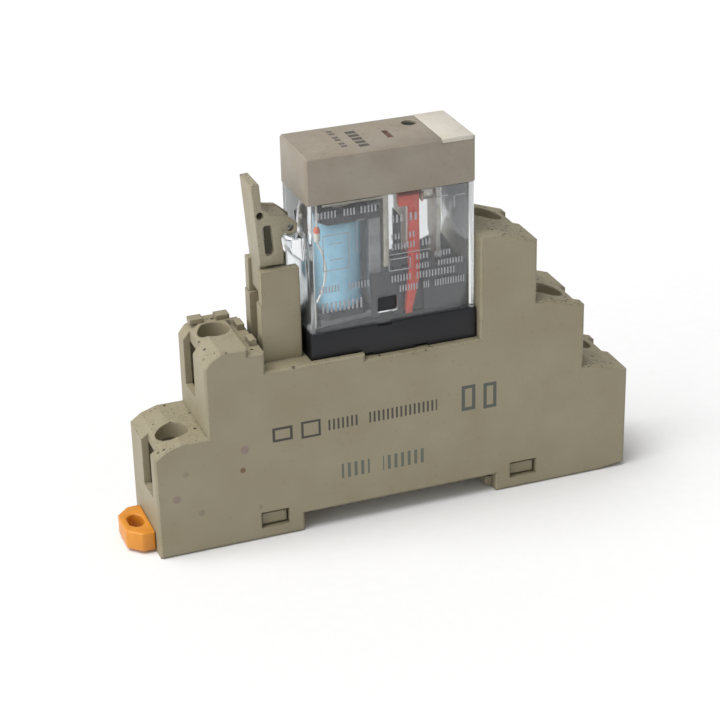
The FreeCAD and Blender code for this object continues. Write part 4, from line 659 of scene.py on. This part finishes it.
# the taped winding: rounded at its corners and swollen at mid height; swell is a share of height and a size
windingShape = {"cornerMm": 1.5, "cornerSteps": 6, "boreMm": 3.3, "levelMm": 0.02, "uprightMm": 0.01,
                "swell": ((0.0, 0.9), (0.12, 0.955), (0.3, 0.99), (0.62, 1.0), (0.85, 0.99), (1.0, 0.965))}
low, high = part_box("coil_winding")
middle = (Vector(low) + Vector(high)) / 2
tall = high[2] - low[2]


def outsideBore(corner):
    return (corner - middle).to_2d().length > windingShape["boreMm"] * mm


winding = mergedCopy("coil_winding")
openForEdit(winding)
bpy.ops.mesh.select_all(action="DESELECT")
bpy.ops.object.mode_set(mode="OBJECT")
for edge in winding.data.edges:
    ends = [winding.data.vertices[index].co for index in edge.vertices]
    upright = (ends[0] - ends[1]).to_2d().length < windingShape["uprightMm"] * mm
    edge.select = upright and outsideBore(ends[0])
bpy.ops.object.mode_set(mode="EDIT")
bpy.ops.mesh.select_mode(type="EDGE")
bpy.ops.mesh.bevel(offset=windingShape["cornerMm"] * mm, segments=windingShape["cornerSteps"],
                   affect="EDGES")
for share, _ in windingShape["swell"][1:-1]:
    bpy.ops.mesh.select_all(action="SELECT")
    bpy.ops.mesh.bisect(plane_co=(middle[0], middle[1], low[2] + share * tall), plane_no=(0, 0, 1))
bpy.ops.mesh.select_mode(type="VERT")
for share, size in windingShape["swell"]:
    level = low[2] + share * tall
    near = windingShape["levelMm"] * mm
    pickCorners(winding, lambda corner: abs(corner.z - level) < near and outsideBore(corner))
    bpy.ops.transform.resize(value=(size, size, 1.0), center_override=middle)
closeEdit(winding, smoothBelow["moulded"])
fitOut(winding, "tapedWinding", coilTape, "relay", ("coil_winding",))
print("winding shaped")


# a turned shape, built up from a filled ring by drawing it out and resizing it; rings are radius and height
# in mm
def turnUp(centre, rings, sides):
    bpy.ops.object.select_all(action="DESELECT")
    bpy.ops.mesh.primitive_circle_add(vertices=sides, radius=rings[0][0] * mm, fill_type="NGON",
                                      location=(centre[0], centre[1], rings[0][1] * mm))
    piece = bpy.context.active_object
    bpy.ops.object.transform_apply(location=True, rotation=True, scale=True)
    openForEdit(piece)
    for (radius, level), (nextRadius, nextLevel) in zip(rings, rings[1:]):
        bpy.ops.mesh.extrude_region_move(TRANSFORM_OT_translate={"value": (0, 0, (nextLevel - level) * mm)})
        bpy.ops.transform.resize(value=(nextRadius / radius, nextRadius / radius, 1.0),
                                 center_override=(centre[0], centre[1], nextLevel * mm))
    bpy.ops.mesh.select_all(action="SELECT")
    bpy.ops.mesh.normals_make_consistent(inside=False)
    bpy.ops.object.mode_set(mode="OBJECT")
    return piece


# cheese-head terminal screw: a rounded rim, a cross recess with one longer slot, and a rolled thread
screwShape = {"sides": 32, "headMm": 2.4, "headHigh": 1.7, "underMm": 0.12, "seatMm": 0.001, "rimMm": 0.25,
              "rimSteps": (0.0, 0.35, 0.7, 1.0), "shankMm": 1.45, "threadDeep": 0.22, "pitchMm": 0.5,
              "crest": (0.45, 0.6), "tipShare": 0.8, "tipMm": 0.2, "threadFrom": 0.3, "plainMm": 0.6,
              "slotWide": 0.8, "slots": ((5.8, 0.9, 0), (3.0, 1.0, 90))}  # each slot: length, depth, turn
low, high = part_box(f"terminal_screw_{places[0]}")
centre = ((low[0] + high[0]) / 2, (low[1] + high[1]) / 2)
bottom, top = low[2] / mm, high[2] / mm
under = top - screwShape["headHigh"]
root = screwShape["shankMm"] - screwShape["threadDeep"]
rings = [(root * screwShape["tipShare"], bottom), (root, bottom + screwShape["tipMm"])]
level = bottom + screwShape["threadFrom"]
while level + screwShape["pitchMm"] < under - screwShape["plainMm"]:
    rings.append((root, level))
    for share in screwShape["crest"]:
        rings.append((screwShape["shankMm"], level + screwShape["pitchMm"] * share))
    level += screwShape["pitchMm"]
rings += [(root, level), (root, under),
          (screwShape["headMm"] - screwShape["underMm"], under + screwShape["seatMm"]),
          (screwShape["headMm"], under + screwShape["underMm"])]
for share in screwShape["rimSteps"]:
    lean = share * pi / 2
    rings.append((screwShape["headMm"] - screwShape["rimMm"] * (1 - cos(lean)),
                  top - screwShape["rimMm"] * (1 - sin(lean))))
firstScrew = turnUp(centre, rings, screwShape["sides"])
for long, deep, turn in screwShape["slots"]:
    bpy.ops.object.select_all(action="DESELECT")
    bpy.ops.mesh.primitive_cube_add(size=1, location=(*centre, high[2]), rotation=(0, 0, radians(turn)),
                                    scale=(long * mm, screwShape["slotWide"] * mm, 2 * deep * mm))
    cutter = bpy.context.active_object
    bpy.ops.object.transform_apply(location=True, rotation=True, scale=True)
    recess = firstScrew.modifiers.new("recess", "BOOLEAN")
    recess.object = cutter
    recess.operation = "DIFFERENCE"
    bpy.context.view_layer.objects.active = firstScrew
    bpy.ops.object.modifier_apply(modifier=recess.name)
    bpy.data.objects.remove(cutter)
closeEdit(firstScrew, smoothBelow["turned"])

# the other terminals' screws are copies of the first, each with its own mesh, moved in the mesh to its place
screws = {places[0]: firstScrew}
for terminal in places[1:]:
    bpy.ops.object.select_all(action="DESELECT")
    firstScrew.select_set(True)
    bpy.context.view_layer.objects.active = firstScrew
    bpy.ops.object.duplicate()
    screws[terminal] = bpy.context.active_object
    screws[terminal].location = Vector(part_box(f"terminal_screw_{terminal}")[0]) - Vector(low)
    bpy.ops.object.transform_apply(location=True, rotation=True, scale=True)
for terminal, screw in screws.items():
    fitOut(screw, f"terminalScrew_{terminal}", zincSteel, f"screw_{terminal}",
           (f"terminal_screw_{terminal}",))
print("terminal screws made")

# the test button's wire spring
springShape = {"coilMm": 1.4, "wireMm": 0.22, "wireSides": 10, "capSides": 12, "turns": 4, "stepsPerTurn": 24,
               "weldMm": 0.001}
low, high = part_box("button_spring")
centre = ((low[0] + high[0]) / 2, (low[1] + high[1]) / 2)
wireRadius = springShape["wireMm"] * mm
lead = (high[2] - low[2] - 2 * wireRadius) / springShape["turns"]
bpy.ops.object.select_all(action="DESELECT")
bpy.ops.mesh.primitive_circle_add(
    vertices=springShape["wireSides"], radius=wireRadius, rotation=(pi / 2, 0, 0),
    location=(centre[0] + springShape["coilMm"] * mm, centre[1], low[2] + wireRadius))
wire = bpy.context.active_object
bpy.ops.object.transform_apply(location=True, rotation=True, scale=True)
bpy.context.scene.cursor.location = (centre[0], centre[1], low[2])
bpy.ops.object.origin_set(type="ORIGIN_CURSOR")
winds = wire.modifiers.new("turns", "SCREW")
winds.angle = 2 * pi
winds.screw_offset = lead
winds.iterations = springShape["turns"]
winds.steps = springShape["stepsPerTurn"]
winds.render_steps = springShape["stepsPerTurn"]
winds.use_merge_vertices = True
winds.merge_threshold = springShape["weldMm"] * mm
bpy.ops.object.modifier_apply(modifier=winds.name)
bpy.ops.object.transform_apply(location=True, rotation=True, scale=True)
openForEdit(wire)
bpy.ops.mesh.fill_holes(sides=springShape["capSides"])
bpy.ops.mesh.select_all(action="SELECT")
bpy.ops.mesh.normals_make_consistent(inside=False)
closeEdit(wire, smoothBelow["round"])
fitOut(wire, "wireSpring", springSteel, "relay", ("button_spring",))
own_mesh(wire)
print("button spring wound")

# the diode bead; each ring is a share of its radius and of its height
beadShape = {"sides": 24, "rings": ((0.45, 0.0), (0.75, 0.06), (0.93, 0.15), (1.0, 0.3), (1.0, 0.7),
                                    (0.93, 0.85), (0.75, 0.94), (0.45, 1.0))}
low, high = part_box("suppression_diode")
centre = ((low[0] + high[0]) / 2, (low[1] + high[1]) / 2)
radius = (high[0] - low[0]) / 2 / mm
rings = [(radius * wide, (low[2] + share * (high[2] - low[2])) / mm) for wide, share in beadShape["rings"]]
bead = turnUp(centre, rings, beadShape["sides"])
closeEdit(bead, smoothBelow["round"])
fitOut(bead, "diodeBead", leadGlass, "relay", ("suppression_diode",))
print("diode made")

# generic print on the clear case: plain strokes and outlines, in place of words and signs. Lengths are in mm,
# along from the socket's left end and up from its foot
printShape = {"faceY": -6.36, "roundMm": 0.04, "roundSteps": 2, "filmMm": 0.004, "pitchShare": 0.62,
              "inkShare": 0.48}
# each row: its foot, its top, the pitch of its strokes, and the stretches that they fill
printRows = (
    (55.2, 56.4, 0.95, ((29.0, 33.0), (34.0, 36.2), (36.9, 39.9))),
    (42.3, 43.5, 0.8, ((29.5, 33.2), (34.6, 38.3))),
    (38.8, 40.6, 1.15, ((29.9, 37.2),)),
    (52.6, 54.0, 1.2, ((42.2, 44.4), (45.3, 47.0))),
    (49.7, 50.7, 0.9, ((42.1, 43.8), (45.2, 46.4))),
    (47.9, 49.0, 0.85, ((42.1, 46.4), (47.4, 49.2))),
    (45.6, 46.6, 0.85, ((46.4, 48.7), (49.6, 52.6))),
    (43.9, 44.9, 0.85, ((46.4, 48.8), (50.2, 54.8))),
    (42.2, 43.4, 0.85, ((42.0, 45.6), (46.4, 53.4))),
    (40.3, 41.5, 0.75, ((43.4, 46.8), (47.6, 48.8), (49.6, 55.1))),
)
# each line: left, right, foot and top
penLines = (
    (30.3, 34.8, 52.2, 52.35), (30.3, 34.8, 46.1, 46.25), (30.3, 30.45, 46.1, 52.3),
    (34.65, 34.8, 46.1, 52.3), (36.1, 36.25, 48.4, 54.2), (36.1, 37.4, 54.05, 54.2),
    (31.4, 33.6, 50.6, 50.75), (31.4, 33.6, 47.9, 48.05), (41.6, 49.0, 47.05, 47.2),
    (41.5, 45.4, 46.2, 46.4), (41.5, 45.4, 44.2, 44.4), (41.5, 41.7, 44.2, 46.4),
    (45.2, 45.4, 44.2, 46.4), (49.8, 52.0, 55.9, 56.1), (53.0, 55.0, 55.7, 55.9),
    (49.8, 50.0, 53.9, 56.1), (53.0, 53.2, 53.7, 55.9),
)
blocks = []
for rowLow, rowHigh, pitch, groups in printRows:
    for start, end in groups:
        count = max(1, round((end - start) / (printShape["pitchShare"] * pitch)))
        step = (end - start) / count
        for index in range(count):
            left = start + index * step
            blocks.append((left, left + printShape["inkShare"] * step, rowLow, rowHigh))
blocks += penLines
bpy.ops.object.select_all(action="DESELECT")
plates = []
for left, right, bottom, top in blocks:
    bpy.ops.mesh.primitive_plane_add(size=mm, rotation=(pi / 2, 0, 0), location=(
        (socketLeft + (left + right) / 2) * mm, printShape["faceY"] * mm, (bottom + top) / 2 * mm))
    plate = bpy.context.active_object
    plate.scale = (right - left, top - bottom, 1.0)
    plates.append(plate)
for plate in plates:
    plate.select_set(True)
bpy.context.view_layer.objects.active = plates[0]
bpy.ops.object.join()
ink = bpy.context.active_object
bpy.ops.object.transform_apply(location=True, rotation=True, scale=True)
openForEdit(ink)
bpy.ops.mesh.bevel(offset=printShape["roundMm"] * mm, segments=printShape["roundSteps"], affect="VERTICES")
bpy.ops.object.mode_set(mode="OBJECT")
film = ink.modifiers.new("film", "SOLIDIFY")
film.thickness = printShape["filmMm"] * mm
film.offset = 0
bpy.ops.object.modifier_apply(modifier=film.name)
fitOut(ink, "casePrint", printInk, "relay")
print("case print laid")

# a plain pale paper table: matt and nearly even, with a faint fibre
floorLook = {"colour": "#e6e6e6", "fibre": "#eaeaea", "fibreMm": 2.0, "roughness": 0.9, "size": 3.0,
             "gapMm": 0.02}
floorPaper, tree, shader, place = newMaterial("palePaper")
fibres = addNode(tree, "ShaderNodeTexNoise", {
    "Vector": place.outputs["Object"], "Scale": perMm(floorLook["fibreMm"])})
pale = addNode(tree, "ShaderNodeMix", {
    0: fibres.outputs[0], 6: hexToLinear(floorLook["colour"]), 7: hexToLinear(floorLook["fibre"])},
    data_type="RGBA")
tree.links.new(pale.outputs[2], shader.inputs["Base Color"])
shader.inputs["Roughness"].default_value = floorLook["roughness"]
bpy.ops.object.select_all(action="DESELECT")
bpy.ops.mesh.primitive_plane_add(size=floorLook["size"],
                                 location=(0, 0, cadBox[0][2] - floorLook["gapMm"] * mm))
floor = bpy.context.active_object
floor.name = "floor"
floor.data.materials.append(floorPaper)

# soft light from all round, from above and from the left; softness is the lamp's apparent width in degrees
skyStrength = 0.4
world = bpy.data.worlds.new("studio")
bpy.context.scene.world = world
world.use_nodes = True
sky = world.node_tree.nodes["Background"]
sky.inputs["Color"].default_value = (1.0, 1.0, 1.0, 1.0)
sky.inputs["Strength"].default_value = skyStrength

lamps = {
    "key": {"strength": 2.45, "softness": 45, "aim": (0.72, 0.04, -1.85)},
    "side": {"strength": 1.35, "softness": 60, "aim": (0.98, 0.16, -0.32)},
}
for name, lamp in lamps.items():
    bpy.ops.object.light_add(type="SUN")
    light = bpy.context.active_object
    light.name = name
    light.data.energy = lamp["strength"]
    light.data.angle = radians(lamp["softness"])
    light.rotation_euler = Vector(lamp["aim"]).to_track_quat("-Z", "Y").to_euler()

# the camera: its place, lens and sensor in mm, and the directions of its right and up
cameraLook = {"at": (-109.466, -299.664, 180.480), "right": (0.93726, -0.34797, -0.02162),
              "up": (0.17018, 0.40249, 0.89947), "lens": 104.91, "sensor": 36.0, "nearMm": 10.0}
bpy.ops.object.camera_add()
camera = bpy.context.active_object
camera.name = "camera"
right = Vector(cameraLook["right"]).normalized()
up = Vector(cameraLook["up"]).normalized()
turn = Matrix((right, up, right.cross(up))).transposed().to_4x4()
camera.matrix_world = Matrix.Translation(Vector(cameraLook["at"]) * mm) @ turn
camera.data.sensor_width = cameraLook["sensor"]
camera.data.lens = cameraLook["lens"]
camera.data.clip_start = cameraLook["nearMm"] * mm
bpy.context.scene.camera = camera
bpy.context.scene.view_settings.view_transform = "Standard"
print("lights and camera set")
